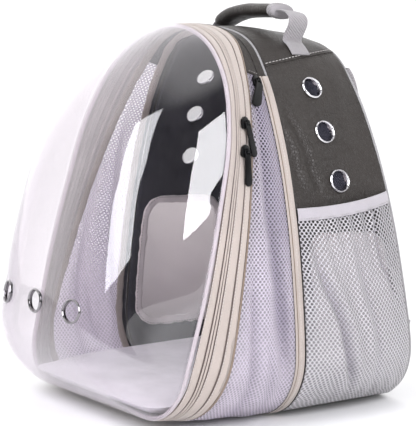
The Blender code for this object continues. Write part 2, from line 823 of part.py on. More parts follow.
def make_handle():
    feet = {side: handle_foot(side) for side in (1.0, -1.0)}
    base = feet[1.0][-1].z
    y = feet[1.0][-1].y
    rise = roof_point(0.0)[0].z + HANDLE_GAP + HANDLE_GRIP_THICK / 2 - base
    half = HANDLE_FOOT_SPAN / 2
    rows = [Vector((half * a, y, base + rise * b)) for a, b in HANDLE_PATH]
    first, last = (2 * row for row in HANDLE_GRIP_ROWS)
    across = roof_point(0.0)[1]
    whole = [Vector(p) for p in curve_through(rows, 2)]
    bm = bmesh.new()
    loops = []
    sides = 12
    for i in range(first, last + 1):
        centre = whole[i]
        ahead = whole[i if i == first else i + 1] - whole[i if i == last else i - 1]
        ahead.normalize()
        wide_way = (across - ahead * across.dot(ahead)).normalized()
        normal = ahead.cross(wide_way)
        swell = 0.86 if i in (first, last) else 1.0
        loops.append([
            bm.verts.new(centre
                         + wide_way * (HANDLE_GRIP_WIDTH / 2 * swell * math.cos(a))
                         + normal * (HANDLE_GRIP_THICK / 2 * swell * math.sin(a)))
            for a in (2 * math.pi * k / sides for k in range(sides))
        ])
    for i in range(len(loops) - 1):
        for k in range(sides):
            m = (k + 1) % sides
            bm.faces.new((loops[i][k], loops[i + 1][k], loops[i + 1][m], loops[i][m]))
    bm.faces.new(loops[0][::-1])
    bm.faces.new(loops[-1])
    finish(bm, "handle_grip", "leather")

    ends = (("right", 1.0, whole[:first + 1]), ("left", -1.0, whole[last:][::-1]))
    for label, side, part in ends:
        path = feet[side] + part
        path[-1] = path[-1] + (path[-2] - path[-1]).normalized() * 2 * CLEARANCE
        strip("handle_webbing_" + label, path, [WEBBING_WIDTH] * len(path),
              [across] * len(path), WEBBING_THICK, "webbing")


# Zipper sliders and pulls

def oriented(bm, verts, origin, normal, down, skew=0.0):
    """Turns local points (across, along the zip, height) into place on a wall."""
    across = normal.cross(down).normalized()
    basis = Matrix((across, -down, normal)).transposed()
    turn = Matrix.Rotation(skew, 3, "Z")
    for v in verts:
        v.co = origin + basis @ (turn @ v.co)


def extruded(bm, outline, low, high):
    base = [bm.verts.new((x, y, low)) for x, y in outline]
    top = [bm.verts.new((x, y, high)) for x, y in outline]
    count = len(outline)
    for c in range(count):
        n = (c + 1) % count
        bm.faces.new((base[c], base[n], top[n], top[c]))
    bm.faces.new(base[::-1])
    bm.faces.new(top)
    return base + top


PIN_HEIGHT = SLIDER_THICK + 0.5 * (CROWN_HEIGHT - CROWN_WALL)


def make_slider(label, origin, normal, down, skew, length):
    """The slider's plate and crown, and the pull whose pin passes under the crown."""
    half_w, half_l = SLIDER_WIDTH / 2, SLIDER_LENGTH / 2
    bm = bmesh.new()
    nose = [
        (-half_w, -half_l * 0.7), (-half_w * 0.7, -half_l), (half_w * 0.7, -half_l),
        (half_w, -half_l * 0.7), (half_w, half_l * 0.5), (half_w * 0.45, half_l),
        (-half_w * 0.45, half_l), (-half_w, half_l * 0.5),
    ]
    verts = extruded(bm, nose, 0.0, SLIDER_THICK)
    oriented(bm, verts, origin, normal, down)
    slider = finish(bm, "slider_" + label, "black", smooth=False)
    reach = CROWN_LENGTH / 2
    wall = CROWN_WALL
    top = SLIDER_THICK + CROWN_HEIGHT
    arch = [
        (-reach, SLIDER_THICK - 0.001), (-reach, top - wall), (-reach + wall, top),
        (reach - wall, top), (reach, top - wall), (reach, SLIDER_THICK - 0.001),
        (reach - wall, SLIDER_THICK - 0.001), (reach - wall, top - wall * 1.2),
        (reach - wall * 1.2, top - wall), (-reach + wall * 1.2, top - wall),
        (-reach + wall, top - wall * 1.2), (-reach + wall, SLIDER_THICK - 0.001),
    ]
    bm = bmesh.new()
    left = [bm.verts.new((-CROWN_WIDTH / 2, y, z)) for y, z in arch]
    right = [bm.verts.new((CROWN_WIDTH / 2, y, z)) for y, z in arch]
    for c in range(len(arch)):
        n = (c + 1) % len(arch)
        bm.faces.new((left[c], left[n], right[n], right[c]))
    bm.faces.new(left[::-1])
    bm.faces.new(right)
    oriented(bm, bm.verts[:], origin, normal, down)
    crown = finish(bm, "crown_" + label, None, smooth=False, group=CUTTERS)
    crown.hide_render = True
    crown.display_type = "WIRE"
    join = slider.modifiers.new("crown", "BOOLEAN")
    join.operation = "UNION"
    join.solver = "EXACT"
    join.object = crown

    pin = PIN_DIAMETER / 2
    widest = max(PULL_SKEW, abs(skew))
    skewed_half = CROWN_WIDTH / 2 * math.cos(widest) + reach * math.sin(widest)
    skewed_reach = CROWN_WIDTH / 2 * math.sin(widest) + reach * math.cos(widest)
    arm_in = skewed_half + CLEARANCE
    arm_out = arm_in + PULL_ARM
    start = math.hypot(skewed_reach, top - PIN_HEIGHT) + CLEARANCE
    thick = PULL_THICK / 2
    bm = bmesh.new()
    tip = PULL_WIDTH / 2
    knee = start + 0.003
    half = [(arm_out, thick), (arm_out, -start), (arm_out * 0.96, -knee), (tip, -length + tip)]
    half += [(tip * math.cos(a), -length + tip - tip * math.sin(a))
             for a in (math.pi * k / 8 for k in (1, 2, 3))]
    body = half + [(0.0, -length)] + [(-x, y) for x, y in reversed(half)]
    body += [(-arm_in, thick), (-arm_in, -start), (arm_in, -start), (arm_in, thick)]
    extruded(bm, body, -thick, thick)
    lean = Matrix.Rotation(PULL_LEAN, 3, "X")
    for v in bm.verts:
        v.co.z -= max(-v.co.y - knee, 0.0) * math.tan(PULL_BEND)
        v.co = lean @ v.co + Vector((0.0, 0.0, PIN_HEIGHT))
    oriented(bm, bm.verts[:], origin, normal, down, skew)
    pull = finish(bm, "pull_" + label, "black", smooth=False)
    bm = bmesh.new()
    rod = []
    sides = 8
    for x in (-arm_in - PULL_ARM / 2, arm_in + PULL_ARM / 2):
        rod.append([bm.verts.new((x, pin * math.cos(a), PIN_HEIGHT + pin * math.sin(a)))
                    for a in (2 * math.pi * (k + 0.5) / sides for k in range(sides))])
    for k in range(sides):
        m = (k + 1) % sides
        bm.faces.new((rod[0][k], rod[0][m], rod[1][m], rod[1][k]))
    bm.faces.new(rod[0][::-1])
    bm.faces.new(rod[1])
    oriented(bm, bm.verts[:], origin, normal, down, skew)
    bar = finish(bm, "pin_" + label, None, group=CUTTERS)
    bar.hide_render = True
    bar.display_type = "WIRE"
    join = pull.modifiers.new("pin", "BOOLEAN")
    join.operation = "UNION"
    join.solver = "EXACT"
    join.object = bar


def band_frame(share):
    """Where a slider of the front zipper sits."""
    return side_frame(RIM, BAND, 1.0, ZIPPER_SHARE, share, 2 * CLEARANCE, (DOME_PIPING + CLEARANCE, 0.0))


def passing_skew():
    """Skew that takes the upper pull past the lower slider."""
    origin, normal, down, _ = band_frame(UPPER_SHARE)
    way = band_frame(UPPER_SHARE - SLIDER_SPACING / BAND_HEIGHT)[0] - origin
    aside, along = way.dot(normal.cross(down).normalized()), way.dot(down)
    return math.atan2(aside, along) + math.asin(PULL_PASS / math.hypot(aside, along))


def make_sliders():
    stand = 2 * CLEARANCE
    origin, normal, down, _ = band_frame(UPPER_SHARE)
    make_slider("upper", origin, normal, down, passing_skew(), PULL_LENGTH)
    origin, normal, down, _ = band_frame(UPPER_SHARE - SLIDER_SPACING / BAND_HEIGHT)
    make_slider("lower", origin, normal, down, 0.65 * PULL_SKEW, PULL_LENGTH)
    edge = (CLEARANCE, -FRAME_DEPTH - CLEARANCE)
    origin, normal, down, _ = side_frame(BAND, FRAME, 1.0, 0.5, WEDGE_SHARE, stand, edge)
    make_slider("wedge", origin, normal, down, -0.5 * PULL_SKEW, WEDGE_PULL_LENGTH)


# Shoulder straps

def make_strap(side, label):
    """A padded strap standing off the back, with webbing down to the side of the base."""
    path, widths = [], []
    stand = STRAP_THICK / 2 + CLEARANCE
    for height, spread, off, wide in STRAP_PATH:
        x = side * STRAP_SPACING / 2 * spread
        path.append(BACK.place(x, height * BACK_HEIGHT, stand + STRAP_STAND * off))
        widths.append(STRAP_WIDTH * wide)
    fine = curve_through(path, 3)
    wide = np.interp(np.linspace(0, len(path) - 1, len(fine)), range(len(path)), widths)
    across = [Vector((1.0, 0.0, 0.0))] * len(fine)
    strip("shoulder_strap_" + label, fine, list(wide), across, STRAP_THICK, "leather")

    height, spread, _, _ = STRAP_PATH[-1]
    begin = Vector((side * STRAP_SPACING / 2 * spread,
                    height * BACK_HEIGHT - STRAP_WEBBING_WIDTH * 0.47 - 2 * CLEARANCE))
    foot = Vector((side * STRAP_FOOT_SPACING / 2, STRAP_FOOT_SHARE * BACK_HEIGHT))
    lie = STRAP_WEBBING_THICK / 2 + 2 * CLEARANCE
    points = []
    for share, off in WEBBING_PATH:
        x, s = begin.lerp(foot, share)
        points.append(BACK.place(x, s, lie + STRAP_STAND * off))
    run = (foot - begin).normalized()
    up = BACK.place(0.0, 1.0) - BACK.place(0.0, 0.0)
    wide_way = up * run.x - Vector((run.y, 0.0, 0.0))
    fine = curve_through(points, 3)
    strip("strap_webbing_" + label, fine, [STRAP_WEBBING_WIDTH] * len(fine), [wide_way] * len(fine),
          STRAP_WEBBING_THICK, "webbing")


def settle():
    """Moves the carrier so that the middle of its base is the origin."""
    bpy.context.view_layer.update()
    graph = bpy.context.evaluated_depsgraph_get()
    low = Vector((1e9,) * 3)
    high = Vector((-1e9,) * 3)
    for obj in CARRIER.objects:
        mesh = obj.evaluated_get(graph).to_mesh()
        for v in mesh.vertices:
            for i in range(3):
                low[i] = min(low[i], v.co[i])
                high[i] = max(high[i], v.co[i])
    shift = Vector((-(low.x + high.x) / 2, -(low.y + high.y) / 2, -low.z))
    for obj in list(CARRIER.objects) + list(CUTTERS.objects):
        obj.data.transform(Matrix.Translation(shift))
    print("shift", tuple(round(v, 6) for v in shift))
    return shift


body, lining = make_body()
make_front()
dome = make_dome()
make_dome_vents(dome)
wall_tools = []
for side_sign, side_label in ((1.0, "right"), (-1.0, "left")):
    wall_tools.append(make_window(side_sign, side_label))
    make_pocket(side_sign, side_label)
    make_strap(side_sign, side_label)
    for vent_label, vent_depth, vent_height in VENT_PLACES:
        vent_name = "vent_" + side_label + "_" + vent_label
        vent_at, vent_normal, _, _ = side_frame(FRAME, BACK, side_sign, vent_depth, vent_height)
        through = WALL + LINING + 2 * CLEARANCE
        wall_tools.append(vent(vent_name, vent_at, vent_normal, through + 0.0006, 0.0005))
        disc("vent_mesh_" + side_label + "_" + vent_label, VENT_BORE / 2 - CLEARANCE,
             -through, -through + VENT_MESH, vent_at, vent_normal, "lining")
cut(body, wall_tools)
cut(lining, wall_tools)
make_board()
make_handle()
make_sliders()
SHIFT = settle()
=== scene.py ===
"""Looks of the pet carrier backpack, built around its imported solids. Metres, +Z up, the dome faces -Y."""

import math

import bmesh
import bpy
import numpy as np
from mathutils import Matrix, Vector


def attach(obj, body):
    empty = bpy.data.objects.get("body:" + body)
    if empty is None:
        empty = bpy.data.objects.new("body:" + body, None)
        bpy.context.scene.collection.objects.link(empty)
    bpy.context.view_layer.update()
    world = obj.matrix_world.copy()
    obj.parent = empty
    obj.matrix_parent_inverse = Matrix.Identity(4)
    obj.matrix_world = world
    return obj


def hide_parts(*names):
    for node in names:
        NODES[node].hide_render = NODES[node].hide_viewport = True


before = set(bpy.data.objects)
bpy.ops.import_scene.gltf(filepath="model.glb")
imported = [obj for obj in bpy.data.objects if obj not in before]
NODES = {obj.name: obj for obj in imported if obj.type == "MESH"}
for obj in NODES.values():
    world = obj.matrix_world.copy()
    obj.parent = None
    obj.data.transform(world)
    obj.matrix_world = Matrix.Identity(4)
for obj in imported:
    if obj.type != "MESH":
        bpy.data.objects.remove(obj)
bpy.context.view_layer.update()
ROOT = "carrier"
GAP = 0.0003

# Sizes shared with the solids
Y0 = 0.02544
BODY_HEIGHT, BODY_WIDTH, BODY_DEPTH, BODY_CORNER = 0.4215, 0.359, 0.160, 0.0716
WALL, LINING, FRAME_DEPTH, FRAME_WALL = 0.0022, 0.0009, 0.012, 0.0036
BACK_HEIGHT, BACK_PANEL, BACK_PIPING = 0.4045, 0.009, 0.0044
WEDGE_DEPTH, BAND_DEPTH, BAND_WALL = 0.1179, 0.0365, 0.0028
DOME_HEIGHT, DOME_DEPTH, DOME_WALL, DOME_PIPING = 0.4304, 0.109, 0.0016, 0.0046
HINGE_SHARE = 0.885
WINDOW_FROM, WINDOW_TO, WINDOW_LOW, WINDOW_HIGH, WINDOW_CORNER = 0.10, 0.86, 0.117, 0.492, 0.024

BODY_OUTLINE = ((0.00, 1.000), (0.35, 0.955), (0.55, 0.866), (0.74, 0.7235), (0.88, 0.5575),
                (0.96, 0.401), (1.00, 0.000))
DOME_OUTLINE = ((0.00, 0.977), (0.35, 1.000), (0.55, 0.967), (0.74, 0.891), (0.88, 0.696),
                (0.96, 0.428), (1.00, 0.000))
DOME_DEPTHS = ((0.0, 0.877), (0.2, 0.947), (0.4, 0.989), (0.6, 0.997), (0.8, 0.962), (1.0, 0.876))
HANDLE_PATH = (
    (0.83, 0.10), (0.88, 0.30), (0.955, 0.58), (0.965, 0.80), (0.90, 0.96), (0.78, 1.03), (0.58, 1.02),
    (0.38, 1.02), (0.13, 1.00), (-0.13, 0.965), (-0.38, 0.87), (-0.60, 0.72), (-0.78, 0.50),
    (-0.86, 0.36), (-0.89, 0.22), (-0.85, 0.10))
STRAP_PATH = (
    (0.925, 0.86, 0.00, 0.56), (0.912, 0.86, 0.12, 0.58), (0.885, 0.87, 0.24, 0.62),
    (0.840, 0.88, 0.30, 0.70), (0.780, 0.90, 0.38, 0.82), (0.700, 0.94, 0.58, 0.93),
    (0.600, 0.98, 0.82, 1.00), (0.500, 1.00, 0.98, 1.00), (0.420, 1.00, 0.96, 0.92),
    (0.365, 1.00, 0.84, 0.78), (0.330, 1.00, 0.62, 0.62))
POCKET_ROWS = ((0.00, 0.00), (0.05, 0.25), (0.11, 0.50), (0.19, 0.78), (0.30, 0.97), (0.42, 1.00),
               (0.60, 0.93), (0.80, 0.78), (1.00, 0.58))


# Arched outlines

def curve_through(points, count):
    points = np.array(points, float)
    steps = np.linalg.norm(np.diff(points, axis=0), axis=1)
    slopes = np.diff(points, axis=0) / steps[:, None]
    tangents = np.zeros_like(points)
    weight = steps[:-1] + steps[1:]
    tangents[1:-1] = (slopes[:-1] * steps[1:, None] + slopes[1:] * steps[:-1, None]) / weight[:, None]
    tangents[0], tangents[-1] = slopes[0], slopes[-1]
    out = []
    for i in range(len(steps)):
        for k in range(count):
            t = k / count
            out.append((1 + 2 * t) * (1 - t) ** 2 * points[i] + t * (1 - t) ** 2 * steps[i] * tangents[i]
                       + t * t * (3 - 2 * t) * points[i + 1] + t * t * (t - 1) * steps[i] * tangents[i + 1])
    out.append(points[-1])
    return np.array(out)


def reach_along(path):
    """Distance along a path at each of its points."""
    return np.concatenate([[0.0], np.cumsum(np.linalg.norm(np.diff(path, axis=0), axis=1))])


class Ring:
    """An arch in a leaning plane: flat base, round corners, narrowing to a round top."""

    def __init__(self, base_y, tilt, lift, height, width, corner, rows):
        self.base_y, self.tilt, self.lift = base_y + Y0, math.radians(tilt), lift
        self.height, self.half = height, width / 2
        side = self.half * rows[0][1]
        arc = [(side - corner + corner * math.sin(a), corner - corner * math.cos(a))
               for a in np.linspace(0.0, math.pi / 2, 25)]
        upper = [(side, corner)] + [(self.half * w, height * h) for h, w in rows[1:]]
        below = (side, corner - 0.4 * (upper[1][1] - corner))
        beyond = (-upper[-2][0], upper[-2][1])
        smooth = curve_through([below] + upper + [beyond], 24)[24:-24]
        half = np.array([(0.0, 0.0)] + arc + list(smooth[1:]))
        reach = reach_along(half)
        self.share = np.linspace(0.0, 1.0, 241)
        self.length = 2 * float(reach[-1])
        self.fine = np.stack([np.interp(self.share * reach[-1], reach, half[:, i]) for i in (0, 1)], 1)
        along = np.gradient(self.fine, axis=0)
        along[0], along[-1] = (1.0, 0.0), (-1.0, 0.0)
        along /= np.linalg.norm(along, axis=1)[:, None]
        self.out = np.stack([along[:, 1], -along[:, 0]], 1)

    def flat(self, t, inset=0.0):
        t = np.asarray(t, float) % 1.0
        side = np.where(t <= 0.5, 1.0, -1.0)
        h = np.where(t <= 0.5, 2 * t, 2 - 2 * t)
        x = np.interp(h, self.share, self.fine[:, 0]) - inset * np.interp(h, self.share, self.out[:, 0])
        s = np.interp(h, self.share, self.fine[:, 1]) - inset * np.interp(h, self.share, self.out[:, 1])
        return side * x, s

    def place(self, x, s, along=0.0):
        y = self.base_y + s * math.sin(self.tilt) + along * math.cos(self.tilt)
        z = self.lift + s * math.cos(self.tilt) - along * math.sin(self.tilt)
        return np.stack(np.broadcast_arrays(x, y, z), -1)

    def points(self, t, inset=0.0, along=0.0):
        x, s = self.flat(t, inset)
        return self.place(x, s, along)

    def turn_at(self, share, side):
        t = np.interp(np.asarray(share, float) * self.height, self.fine[:, 1], self.share)
        return t / 2 if side > 0 else 1.0 - t / 2


FRAME = Ring(0.0, 1.6, 0.0, BODY_HEIGHT, BODY_WIDTH, BODY_CORNER, BODY_OUTLINE)
BACK = Ring(BODY_DEPTH, -4.2, 0.0, BACK_HEIGHT, BODY_WIDTH, BODY_CORNER, BODY_OUTLINE)
BAND = Ring(-WEDGE_DEPTH, 14.8, 0.0084, 0.4326, 0.374, 0.075, BODY_OUTLINE)
RIM = Ring(-WEDGE_DEPTH - BAND_DEPTH, 14.7, 0.0115, DOME_HEIGHT, 0.3224, 0.055, DOME_OUTLINE)


def wall(front, rear, u, t, inset=0.0, along=(0.0, 0.0)):
    a = front.points(t, inset, along[0])
    b = rear.points(t, inset, along[1])
    return a + (b - a) * np.asarray(u, float)[..., None]


def unit(v):
    return v / np.maximum(np.linalg.norm(v, axis=-1, keepdims=True), 1e-12)


def wall_normal(front, rear, u, t, along=(0.0, 0.0)):
    du = wall(front, rear, np.asarray(u) + 0.01, t, 0.0, along) - wall(front, rear, u, t, 0.0, along)
    dt = (wall(front, rear, u, np.asarray(t) + 0.003, 0.0, along)
          - wall(front, rear, u, np.asarray(t) - 0.003, 0.0, along))
    n = unit(np.cross(du, dt))
    p = wall(front, rear, u, t, 0.0, along)
    ref = np.stack([np.zeros_like(p[..., 0]), p[..., 1], np.full_like(p[..., 0], 0.2)], -1)
    sign = np.sign(np.sum(n * (p - ref), -1, keepdims=True))
    return n * np.where(sign == 0, 1.0, sign)


def body_side(u, share, side, out=0.0):
    """Points on a side wall of the body, and their outward normals."""
    u, share = np.broadcast_arrays(np.asarray(u, float), np.asarray(share, float))
    t = FRAME.turn_at(share, side)
    p = wall(FRAME, BACK, u, t)
    n = wall_normal(FRAME, BACK, u, t)
    return p + n * np.asarray(out, float)[..., None], n


# Soft variation

def lumps(p, size, seed=0, octaves=2):
    """Smooth random heights, about -1 to 1, over points."""
    made = np.zeros(p.shape[:-1])
    rng = np.random.default_rng(seed)
    total = 0.0
    for o in range(octaves):
        gain = 0.5**o
        for _ in range(6):
            d = rng.normal(size=3)
            d /= np.linalg.norm(d)
            k = 2 * math.pi / (size * 0.5**o * rng.uniform(0.7, 1.4))
            made += gain * np.sin(p @ d * k + rng.uniform(0, 6.28)) / 6
        total += gain * 0.4
    return made / total


def bump_at(x, centre, width):
    return np.exp(-(((x - centre) / width) ** 2))


# Meshes

def new_object(name, verts, faces, mats, which=None, uvs=None, smooth=True):
    me = bpy.data.meshes.new(name)
    me.from_pydata(np.asarray(verts).tolist(), [], [list(map(int, f)) for f in faces])
    for m in mats:
        me.materials.append(m)
    if which is not None:
        me.polygons.foreach_set("material_index", np.asarray(which, np.int32))
    if uvs is not None:
        layer = me.uv_layers.new(name="cloth")
        layer.data.foreach_set("uv", np.asarray(uvs, np.float32).ravel())
    me.polygons.foreach_set("use_smooth", np.full(len(me.polygons), smooth))
    me.update()
    obj = bpy.data.objects.new(name, me)
    bpy.context.scene.collection.objects.link(obj)
    return obj


def face_outward(obj):
    bm = bmesh.new()
    bm.from_mesh(obj.data)
    bmesh.ops.recalc_face_normals(bm, faces=bm.faces)
    bm.to_mesh(obj.data)
    bm.free()


def inside_out(verts, faces):
    """Whether the faces of a closed mesh point inwards, by the sign of its volume."""
    a, b, c, d = (verts[faces[:, n]] for n in range(4))
    return np.sum(a * np.cross(b, c)) + np.sum(a * np.cross(c, d)) < 0


def swept_quads(rows, count, sides):
    """Quads between rows of points: each quad's row and side, and its corners."""
    i, k = np.meshgrid(np.arange(rows), np.arange(sides), indexing="ij")
    i, k = i.ravel(), k.ravel()
    j, m = (i + 1) % count, (k + 1) % sides
    return i, k, np.stack([i * sides + k, j * sides + k, j * sides + m, i * sides + m], 1)


def grid_normals(P, wrap, ref):
    Q = np.concatenate([P[:, -2:-1], P, P[:, 1:2]], 1) if wrap else P
    du = np.gradient(Q, axis=0)
    dt = np.gradient(Q, axis=1)
    n = unit(np.cross(du, dt))
    if wrap:
        n = n[:, 1:-1]
        n[:, -1] = n[:, 0]
    if np.sum(np.sum(n * (P - np.asarray(ref, float)), -1) > 0) * 2 < n.shape[0] * n.shape[1]:
        n = -n
    return n


def cloth_lengths(P):
    """Cloth coordinates in metres, measured over the folds from the middle of a sheet."""
    out = []
    for axis in (1, 0):
        step = np.linalg.norm(np.diff(P, axis=axis), axis=-1)
        pad = [(0, 0), (0, 0)]
        pad[axis] = (1, 0)
        reach = np.pad(np.cumsum(step, axis=axis), pad)
        middle = np.take(reach, [P.shape[axis] // 2], axis=axis)
        out.append(reach - middle)
    return np.stack([out[1], out[0]], -1)


def sheet_mesh(name, P, N, thick, mats, uv, wrap=False, outer=None, inner=0, edge=0, fold=None):
    """A closed sheet: P its outer face, rows by columns; a wrapped one repeats its first column."""
    R, C1 = P.shape[:2]
    C = C1 - 1 if wrap else C1
    thick = np.broadcast_to(thick, P.shape[:2])
    low = P - N * thick[..., None]
    verts = np.concatenate([P[:, :C].reshape(-1, 3), low[:, :C].reshape(-1, 3)])
    r, c = np.meshgrid(np.arange(R - 1), np.arange(C1 - 1), indexing="ij")
    r, c = r.ravel(), c.ravel()

    def at(rr, cc):
        return rr * C + cc % C

    half = R * C
    quads = np.stack([at(r, c), at(r, c + 1), at(r + 1, c + 1), at(r + 1, c)], 1)
    quv = np.stack([uv[r, c], uv[r, c + 1], uv[r + 1, c + 1], uv[r + 1, c]], 1)
    faces, uvs = [quads, quads[:, ::-1] + half], [quv, quv[:, ::-1]]
    outer = np.zeros(len(quads), int) if outer is None else np.broadcast_to(outer, (R - 1, C1 - 1)).ravel()
    which = [outer, np.full(len(quads), inner)]
    k = np.arange(C1 - 1)
    for row, flip in ((0, False), (R - 1, True)):
        f = np.stack([at(row, k + 1), at(row, k), at(row, k) + half, at(row, k + 1) + half], 1)
        g = np.stack([uv[row, k + 1], uv[row, k], uv[row, k], uv[row, k + 1]], 1)
        faces.append(f[:, ::-1] if flip else f)
        uvs.append(g[:, ::-1] if flip else g)
        which.append(np.full(len(f), edge))
    if not wrap:
        k = np.arange(R - 1)
        for col, flip in ((0, True), (C1 - 1, False)):
            a, b = k * C + col, (k + 1) * C + col
            f = np.stack([b, a, a + half, b + half], 1)
            g = np.stack([uv[k + 1, col], uv[k, col], uv[k, col], uv[k + 1, col]], 1)
            faces.append(f[:, ::-1] if flip else f)
            uvs.append(g[:, ::-1] if flip else g)
            which.append(np.full(len(f), edge))
    faces, uvs, which = np.concatenate(faces), np.concatenate(uvs), np.concatenate(which)
    if inside_out(verts, faces):
        faces, uvs = faces[:, ::-1], uvs[:, ::-1]
    obj = new_object(name, verts, faces, mats, which, uvs)
    # The fold attribute carries painted shade, read by the net material.
    if fold is not None:
        deep = np.clip(fold[:, :C], 0, 1).ravel()
        layer = obj.data.attributes.new("fold", "FLOAT", "POINT")
        layer.data.foreach_set("value", np.concatenate([deep, deep]).astype(np.float32))
    return obj


def wall_piece(name, front, rear, us, ts, thick, mats, wrap=False, relief=None, along=(0.0, 0.0),
               inset=0.0, outer=None, inner=0, edge=0, shade=None):
    U, T = np.meshgrid(us, ts, indexing="ij")
    P = wall(front, rear, U, T, inset, along)
    N = wall_normal(front, rear, U, T, along)
    if relief is not None:
        P = P + N * relief(U, T, P)[..., None]
        N = grid_normals(P, wrap, (0.0, float(P[..., 1].mean()), 0.2))
    uv = np.stack([T * FRAME.length, P[..., 1]], -1)
    if shade is None:
        return sheet_mesh(name, P, N, thick, mats, uv, wrap, outer, inner, edge)
    uv[..., 1] = cloth_lengths(P)[..., 0]
    return sheet_mesh(name, P, N, thick, mats, uv, wrap, outer, inner, edge, shade(U, T, P))


def tube(name, path, section, mats, side, closed=False):
    """Sweeps sections (points by 2: across, out) along a path; side gives the across direction."""
    path = np.asarray(path, float)
    count = len(path)
    if closed:
        ahead = unit(np.roll(path, -1, 0) - np.roll(path, 1, 0))
    else:
        ahead = unit(np.gradient(path, axis=0))
    side = np.broadcast_to(np.asarray(side, float), path.shape)
    across = unit(side - ahead * np.sum(side * ahead, -1, keepdims=True))
    out = np.cross(ahead, across)
    section = np.asarray(section, float)
    if section.ndim == 2:
        section = np.broadcast_to(section, (count,) + section.shape)
    K = section.shape[1]
    verts = path[:, None] + across[:, None] * section[..., :1] + out[:, None] * section[..., 1:]
    verts = verts.reshape(-1, 3)
    reach = reach_along(path)
    if closed:
        reach = np.append(reach, reach[-1] + np.linalg.norm(path[0] - path[-1]))
    around = reach_along(np.concatenate([section[0], section[0][:1]]))
    rows = count if closed else count - 1
    i, k, faces = swept_quads(rows, count, K)
    uvs = np.stack([np.stack([reach[i], around[k]], 1), np.stack([reach[i + 1], around[k]], 1),
                    np.stack([reach[i + 1], around[k + 1]], 1), np.stack([reach[i], around[k + 1]], 1)], 1)
    if inside_out(verts, faces):
        faces, uvs = faces[:, ::-1], uvs[:, ::-1]
    obj = new_object(name, verts, faces, mats, uvs=uvs)
    if not closed:
        bm = bmesh.new()
        bm.from_mesh(obj.data)
        bm.verts.ensure_lookup_table()
        first = [bm.verts[n] for n in range(K)]
        last = [bm.verts[(count - 1) * K + n] for n in range(K)]
        for loop in (first, last):
            try:
                bm.faces.new(loop).smooth = True
            except ValueError:
                pass
        bmesh.ops.recalc_face_normals(bm, faces=bm.faces)
        bm.to_mesh(obj.data)
        bm.free()
    return obj


def round_section(width, thick, sides=16, power=2.0):
    a = np.linspace(0, 2 * math.pi, sides, endpoint=False)
    x = np.sign(np.cos(a)) * np.abs(np.cos(a)) ** (2 / power)
    y = np.sign(np.sin(a)) * np.abs(np.sin(a)) ** (2 / power)
    return np.stack([x * width / 2, y * thick / 2], 1)


def turned(name, profile, origin, axis, mats, sides=48):
    """A ring turned from (radius, height) points about an axis."""
    turn = np.array(Vector(axis).to_track_quat("Z", "Y").to_matrix())
    a = np.linspace(0, 2 * math.pi, sides, endpoint=False)
    profile = np.array(profile, float)
    local = np.stack([profile[None, :, 0] * np.cos(a)[:, None], profile[None, :, 0] * np.sin(a)[:, None],
                      np.broadcast_to(profile[None, :, 1], (sides, len(profile)))], -1)
    verts = (local.reshape(-1, 3) @ turn.T) + np.asarray(origin, float)
    faces = swept_quads(sides, sides, len(profile))[2]
    if inside_out(verts - verts.mean(0), faces):
        faces = faces[:, ::-1]
    return new_object(name, verts, faces, mats)


def resample(path, step):
    path = np.asarray(path, float)
    reach = reach_along(path)
    count = max(int(round(reach[-1] / step)), 1)
    at = np.linspace(0, reach[-1], count + 1)
    return np.stack([np.interp(at, reach, path[:, i]) for i in range(3)], 1)


def stitches(name, runs, mats, pitch=0.0042, length=0.0030, width=0.0009, height=0.0007, rise=0.0002):
    """Short thread lozenges along runs of (path, normal); each run keeps to its own surface."""
    verts, faces = [], []
    for path, normal in runs:
        path = np.asarray(path, float)
        normal = np.broadcast_to(np.asarray(normal, float), path.shape)
        both = np.concatenate([path, normal], 1)
        reach = reach_along(path)
        count = max(int(reach[-1] / pitch), 1)
        mids = (np.arange(count) + 0.5) * reach[-1] / count
        for mid in mids:
            a = np.array([np.interp(mid - length / 2, reach, both[:, i]) for i in range(6)])
            b = np.array([np.interp(mid + length / 2, reach, both[:, i]) for i in range(6)])
            n = unit((a + b)[3:])
            d = unit(b[:3] - a[:3])
            s = np.cross(d, n)
            base = len(verts)
            for f, w in ((0.0, 0.35), (0.25, 0.9), (0.5, 1.0), (0.75, 0.9), (1.0, 0.35)):
                p = a[:3] + (b[:3] - a[:3]) * f + n * rise
                verts += [p + s * width / 2 * w, p + n * height * w, p - s * width / 2 * w,
                          p - n * height * 0.4 * w]
            for q in range(4):
                for k in range(4):
                    m = (k + 1) % 4
                    low, high = base + q * 4, base + (q + 1) * 4
                    faces.append((low + k, low + m, high + m, high + k))
            faces.append((base + 3, base + 2, base + 1, base))
            faces.append((base + 16, base + 17, base + 18, base + 19))
    obj = new_object(name, verts, faces, mats)
    face_outward(obj)
    return obj


def apply_modifiers(obj):
    graph = bpy.context.evaluated_depsgraph_get()
    mesh = bpy.data.meshes.new_from_object(obj.evaluated_get(graph))
    obj.modifiers.clear()
    obj.data = mesh


def cut(obj, tools):
    for tool in tools:
        m = obj.modifiers.new("cut", "BOOLEAN")
        m.operation, m.solver, m.object = "DIFFERENCE", "EXACT", tool
    bpy.context.view_layer.update()
    apply_modifiers(obj)
    for polygon in obj.data.polygons:
        polygon.use_smooth = True


